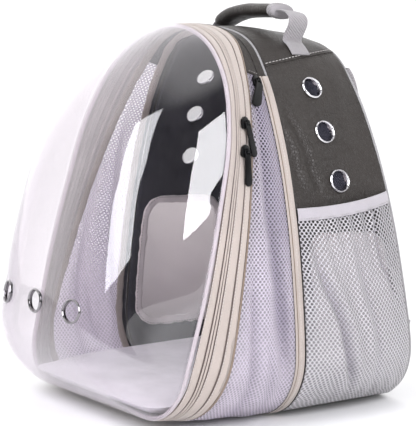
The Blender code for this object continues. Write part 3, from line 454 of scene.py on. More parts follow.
def bevelled(node, name, material, merge, flat, bevel, reshape=None):
    """A copy of a solid with rounded edges; bevel holds its width, segments and least angle."""
    bm = bmesh.new()
    bm.from_mesh(NODES[node].data)
    bmesh.ops.remove_doubles(bm, verts=bm.verts, dist=merge)
    bmesh.ops.dissolve_limit(bm, angle_limit=flat, verts=bm.verts, edges=bm.edges)
    if reshape:
        reshape(bm.verts)
    mesh = bpy.data.meshes.new(name)
    bm.to_mesh(mesh)
    bm.free()
    obj = bpy.data.objects.new(name, mesh)
    bpy.context.scene.collection.objects.link(obj)
    mesh.materials.clear()
    mesh.materials.append(material)
    m = obj.modifiers.new("bevel", "BEVEL")
    m.limit_method = "ANGLE"
    m.width, m.segments, m.angle_limit = bevel
    bpy.context.view_layer.update()
    apply_modifiers(obj)
    for polygon in obj.data.polygons:
        polygon.use_smooth = True
    return obj


def settle(obj, replaces=(), body=ROOT):
    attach(obj, body)
    if replaces:
        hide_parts(*replaces)
    return obj


# Materials

def srgb(r, g, b):
    out = []
    for v in (r, g, b):
        v /= 255
        out.append(v / 12.92 if v <= 0.04045 else ((v + 0.055) / 1.055) ** 2.4)
    return (*out, 1.0)


def add_node(tree, kind, inputs=(), **settings):
    node = tree.nodes.new("ShaderNode" + kind)
    for key, value in settings.items():
        setattr(node, key, value)
    for key, value in dict(inputs).items():
        set_input(tree, node.inputs[key], value)
    return node


def set_input(tree, socket, value):
    if isinstance(value, bpy.types.NodeSocket):
        tree.links.new(value, socket)
    else:
        socket.default_value = value


class Look:
    """A material with its shader and a few shorthands for its nodes."""

    def __init__(self, name, colour, rough=0.6, metallic=0.0):
        self.material = bpy.data.materials.new(name)
        self.material.use_nodes = True
        self.tree = self.material.node_tree
        self.shader = self.tree.nodes["Principled BSDF"]
        self.output = self.tree.nodes["Material Output"]
        self.shader.inputs["Base Color"].default_value = colour
        self.shader.inputs["Roughness"].default_value = rough
        self.shader.inputs["Metallic"].default_value = metallic
        self.colour = colour

    def add(self, kind, inputs=(), **settings):
        return add_node(self.tree, kind, inputs, **settings)

    def maths(self, operation, a, b=None, c=None):
        inputs = {0: a}
        if b is not None:
            inputs[1] = b
        if c is not None:
            inputs[2] = c
        return self.add("Math", inputs, operation=operation).outputs[0]

    def where(self):
        return self.add("TexCoord").outputs["Object"]

    def cloth(self):
        return self.add("UVMap", uv_map="cloth").outputs["UV"]

    def scaled(self, vector, scale):
        return self.add("Mapping", {"Vector": vector, "Scale": scale}).outputs["Vector"]

    def noise(self, vector, scale, detail=2.0, rough=0.5):
        return self.add("TexNoise", {"Vector": vector, "Scale": scale, "Detail": detail,
                                     "Roughness": rough}).outputs["Fac"]

    def cells(self, vector, scale, feature="F1", randomness=1.0):
        return self.add("TexVoronoi", {"Vector": vector, "Scale": scale, "Randomness": randomness},
                        feature=feature).outputs["Distance"]

    def ramp(self, value, low, high, to_low=0.0, to_high=1.0):
        return self.add("MapRange", {0: value, 1: low, 2: high, 3: to_low, 4: to_high}).outputs[0]

    def mix(self, share, a, b):
        node = self.add("Mix", {0: share}, data_type="RGBA")
        for socket, value in ((node.inputs[6], a), (node.inputs[7], b)):
            set_input(self.tree, socket, value)
        return node.outputs[2]

    def tint(self, value, low, high):
        """Colour that goes from low to high times the base colour as value goes from 0 to 1."""
        a = tuple(c * low for c in self.colour[:3]) + (1.0,)
        b = tuple(min(c * high, 1.0) for c in self.colour[:3]) + (1.0,)
        return self.mix(value, a, b)

    def set(self, key, value):
        set_input(self.tree, self.shader.inputs[key], value)

    def glow(self, share, solid=1.0):
        """Light that comes through thin cloth from its other side."""
        back = self.add("BsdfTranslucent", {"Color": self.colour})
        clear = self.add("BsdfTransparent")
        through = self.add("MixShader", {0: solid, 1: clear.outputs[0], 2: back.outputs[0]})
        both = self.add("MixShader", {0: share, 1: self.shader.outputs[0], 2: through.outputs[0]})
        self.tree.links.new(both.outputs[0], self.output.inputs["Surface"])

    def bump(self, height, distance, strength=1.0, under=None):
        inputs = {"Height": height, "Distance": distance, "Strength": strength}
        if under is not None:
            inputs["Normal"] = under
        out = self.add("Bump", inputs).outputs["Normal"]
        self.set("Normal", out)
        return out


def leather(name, colour, cell=0.0032, rough=0.42):
    look = Look(name, colour, rough)
    at = look.where()
    big = look.noise(at, 16.0, 3.0)
    bend = look.add("TexNoise", {"Vector": at, "Scale": 170.0, "Detail": 2.0}).outputs["Color"]
    warped = look.add("VectorMath", {0: bend, 1: (0.0030, 0.0030, 0.0030), 2: at}, operation="MULTIPLY_ADD")
    grain = look.cells(warped.outputs[0], 1.0 / cell, "DISTANCE_TO_EDGE")
    pebble = look.ramp(grain, 0.0, 0.22, 0.0, 1.0)
    small = look.cells(warped.outputs[0], 2.6 / cell, "F1")
    folds = look.noise(look.scaled(at, (1.0, 1.0, 0.42)), 46.0, 3.0, 0.6)
    shade = look.maths("MULTIPLY_ADD", pebble, 0.34, look.ramp(big, 0.3, 0.7, 0.12, 0.62))
    look.set("Base Color", look.tint(shade, 0.74, 1.24))
    dull = look.ramp(big, 0.3, 0.7, rough + 0.02, rough + 0.14)
    look.set("Roughness", look.maths("MULTIPLY_ADD", pebble, -0.12, dull))
    first = look.bump(folds, 0.0026, 0.45)
    second = look.bump(pebble, 0.00034, 0.9, first)
    third = look.bump(small, 0.00020, 0.45, second)
    look.bump(look.noise(at, 1300.0, 2.0), 0.00006, 0.3, third)
    look.set("Specular IOR Level", 0.42)
    return look.material


def ribbed(name, colour, pitch=0.0012, slant=0.0, rough=0.75, depth=0.00022, contrast=0.16, fuzz=0.3,
           cross=0.45):
    """Woven tape: ribs along one way, crossed by fine threads, with soft soiling."""
    look = Look(name, colour, rough)
    uv = look.cloth()
    parts = look.add("SeparateXYZ", {0: uv})
    x = look.maths("MULTIPLY", parts.outputs[0], 2 * math.pi / pitch)
    y = look.maths("MULTIPLY", parts.outputs[1], 2 * math.pi / pitch)
    ribs = look.maths("SINE", look.maths("MULTIPLY_ADD", y, slant, x))
    threads = look.maths("SINE", look.maths("MULTIPLY_ADD", x, -slant, y))
    woven = look.maths("MULTIPLY_ADD", threads, cross, ribs)
    at = look.where()
    hair = look.noise(at, 900.0, 3.0)
    blot = look.noise(at, 26.0, 3.0)
    value = look.ramp(woven, -1.4, 1.4, 0.5 - contrast * 2, 0.5 + contrast * 2)
    value = look.maths("MULTIPLY_ADD", look.ramp(blot, 0.3, 0.7, -0.5, 0.5), 0.35, value)
    value = look.maths("MULTIPLY_ADD", look.ramp(hair, 0.2, 0.8, -0.5, 0.5), 0.5, value)
    look.set("Base Color", look.tint(value, 0.84, 1.13))
    first = look.bump(woven, depth, 0.8)
    look.bump(hair, 0.0002, 0.3, first)
    look.set("Sheen Weight", fuzz)
    look.set("Sheen Roughness", 0.5)
    look.set("Roughness", look.ramp(hair, 0.3, 0.7, rough - 0.08, rough + 0.08))
    return look.material


def plain_cloth(name, colour, pitch=0.0007, rough=0.7, wrinkle=0.0, sheen=0.2, weave_depth=0.0001):
    look = Look(name, colour, rough)
    at = look.where()
    parts = look.add("SeparateXYZ", {0: look.cloth()})
    k = 2 * math.pi / pitch
    weave = look.maths("MULTIPLY", look.maths("SINE", look.maths("MULTIPLY", parts.outputs[0], k)),
                       look.maths("SINE", look.maths("MULTIPLY", parts.outputs[1], k)))
    blot = look.noise(at, 18.0, 4.0)
    slub = look.noise(look.scaled(at, (1.0, 1.0, 6.0)), 240.0, 3.0)
    value = look.maths("MULTIPLY_ADD", look.ramp(slub, 0.3, 0.7, -0.5, 0.5), 0.35, look.ramp(blot, 0.3, 0.7))
    look.set("Base Color", look.tint(value, 0.86, 1.12))
    first = look.bump(weave, weave_depth, 0.5)
    if wrinkle:
        look.bump(look.noise(look.scaled(at, (1.0, 1.0, 0.45)), 34.0, 3.0), wrinkle, 0.6, first)
    look.set("Sheen Weight", sheen)
    look.set("Roughness", look.ramp(slub, 0.3, 0.7, rough - 0.08, rough + 0.06))
    return look.material


def net(name, thread, cell=(0.0059, 0.0076), hole=0.0021, rough=0.62, soft=0.0003, shadow=0.55,
        veil=(0.3, 0.3), glow=0.25, levels=(0.05, 0.30), top_shade=0.0):
    """Knitted net: staggered holes cut by the shader, threads that swell between them, denser low down. Painted
    shade darkens the threads around the holes, higher up and where the fold attribute is set.
    """
    look = Look(name, thread, rough)
    parts = look.add("SeparateXYZ", {0: look.cloth()})
    distances = []
    for shift in (0.0, 0.5):
        gaps = []
        for socket, size in ((parts.outputs[1], cell[0]), (parts.outputs[0], cell[1])):
            turns = look.maths("ADD", look.maths("DIVIDE", socket, size), 0.5 + shift)
            frac = look.maths("SUBTRACT", look.maths("FRACT", turns), 0.5)
            gaps.append(look.maths("MULTIPLY", frac, size))
        distances.append(look.maths("SQRT", look.maths(
            "ADD", look.maths("MULTIPLY", gaps[0], gaps[0]), look.maths("MULTIPLY", gaps[1], gaps[1]))))
    near = look.maths("MINIMUM", *distances)
    at = look.where()
    jitter = look.noise(at, 420.0, 2.0)
    near = look.maths("MULTIPLY_ADD", look.ramp(jitter, 0.2, 0.8, -1.0, 1.0), 0.00022, near)
    height = look.add("SeparateXYZ", {0: at}).outputs[2]
    solid = look.ramp(near, look.ramp(height, *levels, hole * 0.66 - soft, hole * 1.06 - soft), hole + soft,
                      look.ramp(height, *levels, *veil), 1.0)
    look.set("Alpha", solid)
    blot = look.noise(at, 20.0, 3.0)
    edge = look.ramp(near, hole, hole + 0.0009, 0.0, 1.0)
    # Painted shade: the threads darken where they curve down into the holes.
    value = look.maths("MULTIPLY_ADD", look.ramp(blot, 0.3, 0.7, -0.5, 0.5), 0.3, edge)
    # Painted shade: the threads grow darker higher up.
    value = look.maths("ADD", value, look.ramp(height, levels[0], levels[1] + 0.06, 0.0, -top_shade))
    # Painted shade: where the fold attribute is set, the threads turn to a dark lilac shade colour.
    fold = look.add("Attribute", attribute_name="fold").outputs["Fac"]
    look.set("Base Color", look.mix(fold, look.tint(value, shadow, 1.06), (0.25, 0.225, 0.31, 1.0)))
    knit = look.noise(at, 1500.0, 2.0)
    rumple = look.bump(look.noise(look.scaled(at, (1.0, 1.0, 0.5)), 30.0, 3.0), 0.0035, 0.5)
    first = look.bump(edge, 0.0006, 0.8, rumple)
    look.bump(knit, 0.00012, 0.5, first)
    look.set("Sheen Weight", 0.25)
    look.glow(glow, solid)
    return look.material


def fine_net(name, colour, pitch=0.0027, clear=0.35, rough=0.7, glow=0.4):
    """Fine woven net with a rib every pitch; partly see-through."""
    look = Look(name, colour, rough)
    parts = look.add("SeparateXYZ", {0: look.cloth()})
    k = 2 * math.pi / pitch
    ribs = look.maths("SINE", look.maths("MULTIPLY", parts.outputs[0], k))
    warp = look.maths("SINE", look.maths("MULTIPLY", parts.outputs[1], k * 1.6))
    at = look.where()
    hair = look.noise(at, 800.0, 2.0)
    value = look.maths("MULTIPLY_ADD", look.ramp(hair, 0.2, 0.8, -0.5, 0.5), 0.4, look.ramp(ribs, -1, 1))
    look.set("Base Color", look.tint(value, 0.82, 1.08))
    crossing = look.ramp(look.maths("MULTIPLY", ribs, warp), -1, 1, -0.5, 0.5)
    solid = look.maths("MULTIPLY_ADD", crossing, 0.5, 1 - clear)
    look.set("Alpha", solid)
    look.bump(look.maths("MULTIPLY_ADD", warp, 0.4, ribs), 0.0003, 0.8)
    look.glow(glow, solid)
    return look.material


def metal(name, colour, rough, metallic, scratch=0.05):
    look = Look(name, colour, rough, metallic)
    at = look.where()
    wear = look.noise(look.scaled(at, (1.0, 1.0, 8.0)), 160.0, 4.0)
    look.set("Roughness", look.ramp(wear, 0.3, 0.7, max(rough - scratch, 0.02), rough + scratch))
    look.set("Base Color", look.tint(look.noise(at, 60.0, 3.0), 0.9, 1.08))
    look.bump(wear, 0.00003, 0.2)
    return look.material


def clear_plastic(name):
    look = Look(name, (0.93, 0.91, 0.93, 1.0), 0.04)
    tree = look.tree
    at = look.where()
    wave = look.noise(look.scaled(at, (1.0, 1.0, 0.5)), 9.0, 2.0)
    bump = look.add("Bump", {"Height": wave, "Distance": 0.002, "Strength": 0.10})
    gloss = look.add("BsdfGlossy", {"Color": (1.0, 1.0, 1.0, 1.0), "Roughness": 0.015,
                                    "Normal": bump.outputs["Normal"]})
    haze = look.add("BsdfDiffuse", {"Color": (0.95, 0.93, 0.95, 1.0), "Roughness": 0.9})
    facing = look.add("LayerWeight", {"Blend": 0.5}).outputs["Facing"]
    tint = look.mix(look.maths("POWER", facing, 2.0), (0.984, 0.974, 0.981, 1.0), (0.78, 0.745, 0.78, 1.0))
    through = look.add("BsdfTransparent", {"Color": tint})
    dust = look.noise(at, 70.0, 4.0)
    veil = look.maths("MULTIPLY_ADD", look.maths("POWER", facing, 3.0), 0.25,
                      look.ramp(dust, 0.35, 0.75, 0.002, 0.007))
    body = look.add("MixShader", {0: veil, 1: through.outputs[0], 2: haze.outputs[0]})
    shine = look.maths("MULTIPLY_ADD", look.maths("POWER", facing, 5.0), 0.70, 0.048)
    final = look.add("MixShader", {0: shine, 1: body.outputs[0], 2: gloss.outputs[0]})
    tree.links.new(final.outputs[0], look.output.inputs["Surface"])
    tree.nodes.remove(look.shader)
    return look.material


LEATHER = leather("leather", srgb(42, 37, 34))
LINING_CLOTH = plain_cloth("lining", srgb(36, 35, 46), wrinkle=0.004, rough=0.7, sheen=0.05, weave_depth=0.0)
TAPE = ribbed("tape", srgb(184, 172, 165), pitch=0.0009, depth=0.00012, contrast=0.08, cross=0.9)
TAPE_LINE = plain_cloth("tape_line", srgb(84, 72, 68))
TAPE_EDGE = ribbed("tape_edge", srgb(128, 112, 98), pitch=0.0009, depth=0.0001)
TAPE_INSIDE = plain_cloth("tape_inside", srgb(158, 150, 150), wrinkle=0.003)
PIPING = ribbed("piping", srgb(190, 180, 186), pitch=0.0008, depth=0.0001, contrast=0.06)
PIPING_BACK = ribbed("piping_back", srgb(150, 148, 150), pitch=0.0008, depth=0.0001)
# Both nets carry painted shade: darker higher up and in their folds.
GUSSET = net("gusset_net", srgb(236, 229, 240), cell=(0.0045, 0.0058), hole=0.00130,
             veil=(0.55, 0.04), glow=0.42, top_shade=0.38)
POCKET = net("pocket_net", srgb(226, 223, 227), cell=(0.0050, 0.0064), hole=0.00146,
             veil=(0.55, 0.02), glow=0.28, levels=(0.03, 0.20), top_shade=0.30)
WEBBING = ribbed("webbing", srgb(150, 146, 149), pitch=0.0034, slant=0.9, depth=0.0004,
                 contrast=0.42, cross=0.15)
BINDING = plain_cloth("binding", srgb(222, 214, 214), wrinkle=0.004)
SEAM_BINDING = plain_cloth("seam_binding", srgb(150, 140, 134), wrinkle=0.002)
ELASTIC = ribbed("elastic", srgb(182, 177, 183), pitch=0.0014, depth=0.0002, contrast=0.08)
WINDOW = fine_net("window_net", srgb(255, 251, 251), clear=0.12, glow=0.93)
VENT_NET = fine_net("vent_net", srgb(88, 88, 104), pitch=0.0011, clear=0.80)
CHROME = metal("chrome_ring", (0.66, 0.65, 0.67, 1.0), 0.07, 1.0, 0.03)
DARK_CHROME = metal("dark_chrome_ring", (0.26, 0.25, 0.26, 1.0), 0.12, 1.0, 0.03)
BLACK = metal("black_metal", (0.004, 0.004, 0.0045, 1.0), 0.22, 0.0, 0.06)
BLACK.node_tree.nodes["Principled BSDF"].inputs["Specular IOR Level"].default_value = 0.20
BOARD = plain_cloth("board_cover", srgb(232, 229, 235), rough=0.5, wrinkle=0.0015)
CLEAR = clear_plastic("clear_plastic")
THREAD = plain_cloth("thread", srgb(205, 200, 198), pitch=0.0005)
THREAD_DARK = plain_cloth("thread_dark", srgb(96, 90, 86), pitch=0.0005)
THREAD_GREY = plain_cloth("thread_grey", srgb(160, 156, 156), pitch=0.0005)
MESH_PAD = net("pad_net", srgb(70, 69, 74), cell=(0.0030, 0.0034), hole=0.0004, veil=(0.3, 0.3))


# Camera, lights and floor

CAMERA_AZIMUTH, CAMERA_ELEVATION, CAMERA_AWAY, CAMERA_AIM_HEIGHT = 55.0, 8.75, 2.3, 0.21
FOCAL_PIXELS, PICTURE_PIXELS, SENSOR_WIDTH = 2008.0, 426.0, 36.0
WORLD_BRIGHT, WORLD_DARK = 1.42, 0.045


def heading(az, el):
    a, e = math.radians(az), math.radians(el)
    return Vector((math.sin(a) * math.cos(e), -math.cos(a) * math.cos(e), math.sin(e)))


def make_camera():
    back = heading(CAMERA_AZIMUTH, CAMERA_ELEVATION)
    data = bpy.data.cameras.new("camera")
    data.lens = FOCAL_PIXELS * SENSOR_WIDTH / PICTURE_PIXELS
    data.sensor_width = SENSOR_WIDTH
    data.clip_start, data.clip_end = 0.05, 60.0
    cam = bpy.data.objects.new("camera", data)
    cam.location = Vector((0.0, Y0, CAMERA_AIM_HEIGHT)) + back * CAMERA_AWAY
    cam.rotation_mode = "QUATERNION"
    cam.rotation_quaternion = (-back).to_track_quat("-Z", "Y")
    bpy.context.scene.collection.objects.link(cam)
    bpy.context.scene.camera = cam


def make_world():
    """Bright all round, darker low down in front, where the room is behind the camera."""
    world = bpy.data.worlds.new("studio")
    bpy.context.scene.world = world
    world.use_nodes = True
    tree = world.node_tree
    ground = tree.nodes["Background"]
    where = tree.nodes.new("ShaderNodeTexCoord")

    def node(kind, inputs, **settings):
        return add_node(tree, kind, inputs, **settings).outputs

    way = where.outputs["Generated"]
    front = node("VectorMath", {0: way, 1: (0.766, -0.643, 0.0)}, operation="DOT_PRODUCT")[1]
    parts = node("SeparateXYZ", {0: way})
    facing = node("MapRange", {0: front, 1: -0.20, 2: 0.18}, interpolation_type="SMOOTHSTEP")[0]
    low = node("MapRange", {0: parts[2], 1: 1.0, 2: 0.86}, interpolation_type="SMOOTHSTEP")[0]
    dark = node("Math", {0: facing, 1: low}, operation="MULTIPLY")[0]
    power = node("MapRange", {0: dark, 3: WORLD_BRIGHT, 4: WORLD_DARK})[0]
    far = node("MapRange", {0: parts[0], 1: -0.2, 2: -0.9, 3: 0.0, 4: 0.55},
               interpolation_type="SMOOTHSTEP")[0]
    power = node("Math", {0: power, 1: far}, operation="ADD")[0]
    tree.links.new(power, ground.inputs["Strength"])
    ground.inputs["Color"].default_value = (1.0, 0.995, 1.0, 1.0)


def softbox(name, low, high, wide, radiance, colour):
    """A rectangle of light between two (azimuth, elevation, distance) places, facing the dome."""
    centre = Vector((0.0, -0.05, 0.25))
    a, b = (centre + heading(az, el) * far for az, el, far in (low, high))
    up = b - a
    face = (centre - (a + b) / 2).normalized()
    tall = up.length
    up.normalize()
    across = face.cross(up).normalized()
    data = bpy.data.lights.new(name, "AREA")
    data.shape = "RECTANGLE"
    data.size, data.size_y = wide, tall
    data.energy = radiance * math.pi * wide * tall
    data.color = colour
    light = bpy.data.objects.new(name, data)
    light.location = (a + b) / 2
    light.rotation_mode = "QUATERNION"
    light.rotation_quaternion = Matrix((across, up, across.cross(up))).transposed().to_quaternion()
    light.visible_camera = False
    bpy.context.scene.collection.objects.link(light)


def make_stage():
    make_world()
    look = Look("floor", (0.86, 0.86, 0.865, 1.0), 0.9)
    look.set("Base Color", look.tint(look.noise(look.where(), 3.0, 2.0), 0.985, 1.01))
    look.set("Specular IOR Level", 0.1)
    look.set("Emission Color", (1.0, 1.0, 1.0, 1.0))
    away = look.add("VectorMath", {0: look.where()}, operation="LENGTH").outputs["Value"]
    look.set("Emission Strength", look.ramp(away, 0.9, 5.0, 0.02, 0.30))
    size = 14.0
    floor = new_object("floor", [(-size, -size, -0.0006), (size, -size, -0.0006), (size, size, -0.0006),
                                 (-size, size, -0.0006)], [(0, 1, 2, 3)], [look.material], smooth=False)
    bpy.context.scene.view_settings.view_transform = "Standard"
    softbox("left_box", (24.0, 6.5, 2.3), (-8.0, 57.0, 2.8), 0.92, 6.5, (0.95, 0.96, 1.0))
    softbox("right_box", (87.0, 9.8, 2.2), (85.0, 45.0, 2.9), 1.15, 9.0, (0.97, 0.97, 1.0))


make_camera()
make_stage()


# Dome

DEPTH_FIT = np.polyfit([r[0] for r in DOME_DEPTHS], [r[1] for r in DOME_DEPTHS], 4)
CENTRE = 0.30 * DOME_HEIGHT
RIM_ANGLES = np.arctan2(RIM.fine[:, 0], RIM.fine[:, 1] - CENTRE)
RIM_REACH = np.hypot(RIM.fine[:, 0], RIM.fine[:, 1] - CENTRE)


def dome_height(x, s):
    angle = np.arctan2(np.abs(x), s - CENTRE)
    reach = np.interp(angle, RIM_ANGLES[::-1], RIM_REACH[::-1])
    level = np.minimum(np.hypot(x, s - CENTRE) / reach, 1.0)
    depth = DOME_DEPTH * np.polyval(DEPTH_FIT, s / DOME_HEIGHT)
    return depth * (1.0 - level**3.26) ** (1.0 / 1.2)


def dome_point(x, s):
    return RIM.place(x, s, -dome_height(x, s) - GAP)


def dome_frame(x, s):
    step = 0.003
    across = dome_point(x + step, s) - dome_point(x - step, s)
    up = dome_point(x, s + step) - dome_point(x, s - step)
    n = unit(np.cross(across, up))
    return dome_point(x, s), n if n[1] < 0 else -n


VENT_BORE, VENT_OUTER = 0.0215, 0.027


def ring_profile(depth, lift):
    """An eyelet: a steep skirt, a narrow rolled crest and a barrel that goes through."""
    bore, outer = VENT_BORE / 2, VENT_OUTER / 2
    crest, radius = (bore + outer) / 2, 0.00055
    profile = [(bore, -depth), (bore + 0.0007, -depth), (bore + 0.0007, lift - 0.0002), (outer, lift - 0.0002),
               (outer, lift + 0.0002), (outer - 0.0005, lift + 0.0009)]
    for k in range(9):
        a = math.pi * (0.12 + 0.76 * k / 8)
        profile.append((crest + radius * math.cos(a), lift + 0.0011 + radius * math.sin(a)))
    profile += [(bore + 0.0003, lift + 0.0007), (bore, lift - 0.0002)]
    return profile


def drill(name, at, axis, reach, look):
    """A round cutter, a little wider than a vent's barrel."""
    radius = VENT_BORE / 2 + 0.0009
    return turned(name, [(0.0001, -reach), (radius, -reach), (radius, reach), (0.0001, reach)], at, axis, [look])


def make_dome():
    levels = 1.0 - (1.0 - np.linspace(1.0, 0.0, 64)) ** 2.2
    levels = levels[:-1]
    ts = np.linspace(0, 1, 257)
    rows = []
    for level in levels:
        x, s = RIM.flat(ts, 0.0004)
        rows.append(dome_point(x * level, CENTRE + (s - CENTRE) * level) if level < 1.0
                    else RIM.place(x, s, -GAP))
    P = np.array(rows)
    tip = dome_point(np.array(0.0), np.array(CENTRE))
    P = np.concatenate([P, np.broadcast_to(tip, (1, P.shape[1], 3))])
    N = grid_normals(P, True, (0.0, 0.0, 0.2))
    N[-1] = dome_frame(0.0, CENTRE)[1]
    x, s = RIM.flat(ts, 0.0004 + DOME_WALL)
    C = P.shape[1] - 1
    inner = P - N * DOME_WALL
    inner[0] = RIM.place(x, s, -GAP)
    verts = np.concatenate([P[:-1, :C].reshape(-1, 3), P[-1:, 0], inner[:-1, :C].reshape(-1, 3), inner[-1:, 0]])
    R = len(P) - 1
    faces = []
    half = R * C + 1
    for base, flip in ((0, False), (half, True)):
        for r in range(R - 1):
            for c in range(C):
                n = (c + 1) % C
                f = (base + r * C + c, base + r * C + n, base + (r + 1) * C + n, base + (r + 1) * C + c)
                faces.append(f[::-1] if flip else f)
        for c in range(C):
            f = (base + (R - 1) * C + c, base + (R - 1) * C + (c + 1) % C, base + R * C)
            faces.append(f[::-1] if flip else f)
    for c in range(C):
        n = (c + 1) % C
        faces.append((n, c, half + c, half + n))
    obj = new_object("dome_shell", verts, faces, [CLEAR])
    face_outward(obj)
    tools = []
    for label, x in (("left", -0.068), ("middle", 0.0), ("right", 0.068)):
        at, n = dome_frame(x, 0.231 * DOME_HEIGHT)
        tools.append(drill("cutter_" + label, at, n, 0.02, CLEAR))
        ring = turned("dome_ring_" + label, ring_profile(0.0026, 0.0003), at, n, [DARK_CHROME], 64)
        settle(ring, ("dome_vent_" + label,))
    cut(obj, tools)
    for tool in tools:
        bpy.data.objects.remove(tool)
    settle(obj, ("dome",))


make_dome()


# Front band

TS = np.linspace(0, 1, 289)


def rounded(u, a, b, height, edge=0.22):
    """A soft raised strip from a to b."""
    x = np.clip((u - a) / (b - a), 0, 1)
    return height * (np.clip(np.sin(math.pi * x), 0, 1) ** edge) * ((u > a) & (u < b))


BAND_PARTS = ((0.140, 0.316, 0.0015), (0.352, 0.400, 0.0014), (0.420, 0.468, 0.0014),
              (0.494, 0.726, 0.0015), (0.768, 0.934, 0.0014))
BAND_CREASES = ((0.12, 0.140), (0.316, 0.352), (0.400, 0.420), (0.468, 0.494), (0.726, 0.768), (0.934, 0.952))
BAND_ROWS = np.array(sorted({round(v, 5) for v in (
    [0.1265, 0.132, 0.334, 0.410, 0.481, 0.740, 0.754, 0.943, 0.952, 0.958, 0.985, 0.9999]
    + [a + (b - a) * k for a, b, _ in BAND_PARTS for k in (0.0, 0.03, 0.1, 0.22, 0.4, 0.6, 0.78, 0.9, 0.97, 1.0)])}))


def band_relief(U, T, P):
    h = np.full(U.shape, -0.0012)
    for a, b, high in BAND_PARTS:
        h += rounded(U, a, b, high)
    h += rounded(U, 0.951, 1.002, 0.0008)
    h += 0.00035 * lumps(P, 0.05, 3) * ((U > 0.14) & (U < 0.934))
    return h


def make_band():
    mids = (BAND_ROWS[:-1] + BAND_ROWS[1:]) / 2
    slot = np.where(mids > 0.951, 2, 0)
    for low, high in BAND_CREASES:
        slot[(mids > low) & (mids < high)] = 1
    obj = wall_piece("front_band", RIM, BAND, BAND_ROWS, TS, 0.0018, [TAPE, TAPE_LINE, TAPE_EDGE, TAPE_INSIDE],
                     wrap=True, relief=band_relief, outer=slot[:, None], inner=3, edge=2)
    settle(obj, ("zipper_band",))
    path = wall(RIM, BAND, np.full(TS[:-1].shape, 0.062), TS[:-1], 0.0022)
    n = wall_normal(RIM, BAND, np.full(TS[:-1].shape, 0.062), TS[:-1])
    cord = tube("rim_piping", path, round_section(DOME_PIPING, DOME_PIPING, 14), [PIPING], n, closed=True)
    settle(cord, ("dome_piping",))
    runs = []
    t = np.linspace(0, 1, 700)
    for u in (0.150, 0.507, 0.780):
        n = wall_normal(RIM, BAND, np.full(t.shape, u), t)
        runs.append((wall(RIM, BAND, np.full(t.shape, u), t) + n * 0.00005, n))
    settle(stitches("band_stitches", runs, [THREAD], 0.0036, 0.0026, 0.0006, 0.0003))


make_band()


# Wedge: leather hinge on top, net below, binding at the body's front

EDGE = (GAP, -FRAME_DEPTH - GAP)
SPLIT = float(FRAME.turn_at(HINGE_SHARE, 1))


def gusset_relief(U, T, P):
    """A slack net: one deep fold that slants to the rear, a full lower belly and smaller creases."""
    side = np.where(P[..., 0] >= 0, 1.0, -1.0)
    z = P[..., 2]
    open_share = np.clip((0.385 - z) / 0.36, 0, 1)
    low = np.clip((z - 0.016) / 0.045, 0, 1)
    mid = 4 * U * (1 - U)
    room = open_share * low * np.clip(mid * 1.7, 0, 1)
    h = 0.0050 * mid * open_share * low
    line = 0.50 + 2.3 * (0.235 - z) + 0.02 * np.sin(z * 40 + side)
    line = np.minimum(line, 0.90)
    h += -0.0120 * bump_at(U, line, 0.13) * room
    h += 0.0055 * bump_at(U, line - 0.27, 0.12) * room
    second = 0.20 + 1.6 * (0.150 - z)
    h += -0.0050 * bump_at(U, second, 0.055) * room * np.clip((0.20 - z) / 0.05, 0, 1)
    h += 0.0040 * bump_at(U, second + 0.13, 0.09) * room * np.clip((0.20 - z) / 0.05, 0, 1)
    third = 0.62 - 3.0 * (z - 0.05)
    h += -0.0045 * bump_at(U, third, 0.06) * room * np.clip((0.11 - z) / 0.04, 0, 1)
    h += 0.0016 * lumps(P, 0.06, 11) * mid * open_share
    return h


def gusset_shade(U, T, P):
    """Painted shade on the net, for its fold attribute: where it turns away into its deep fold, and under the
    leather strip.
    """
    z = P[..., 2]
    line = np.minimum(0.50 + 2.3 * (0.235 - z), 0.90)
    valley = bump_at(U, line + 0.02, 0.17) * np.clip((z - 0.06) / 0.06, 0, 1) * np.clip((0.36 - z) / 0.06, 0, 1)
    rear = np.clip((U - line + 0.02) / 0.16, 0, 1) * np.clip((z - 0.14) / 0.08, 0, 1)
    second = bump_at(U, 0.20 + 1.6 * (0.150 - z) - 0.01, 0.07) * np.clip((0.18 - z) / 0.05, 0, 1)
    third = bump_at(U, 0.62 - 3.0 * (z - 0.05), 0.07) * np.clip((0.10 - z) / 0.04, 0, 1)
    under = np.clip((z - 0.315) / 0.04, 0, 1)
    made = np.maximum(0.66 * valley, 0.60 * rear) + 0.24 * second + 0.18 * third + 0.4 * under
    return np.clip(made, 0, 0.85) * np.clip(6 * U, 0, 1)


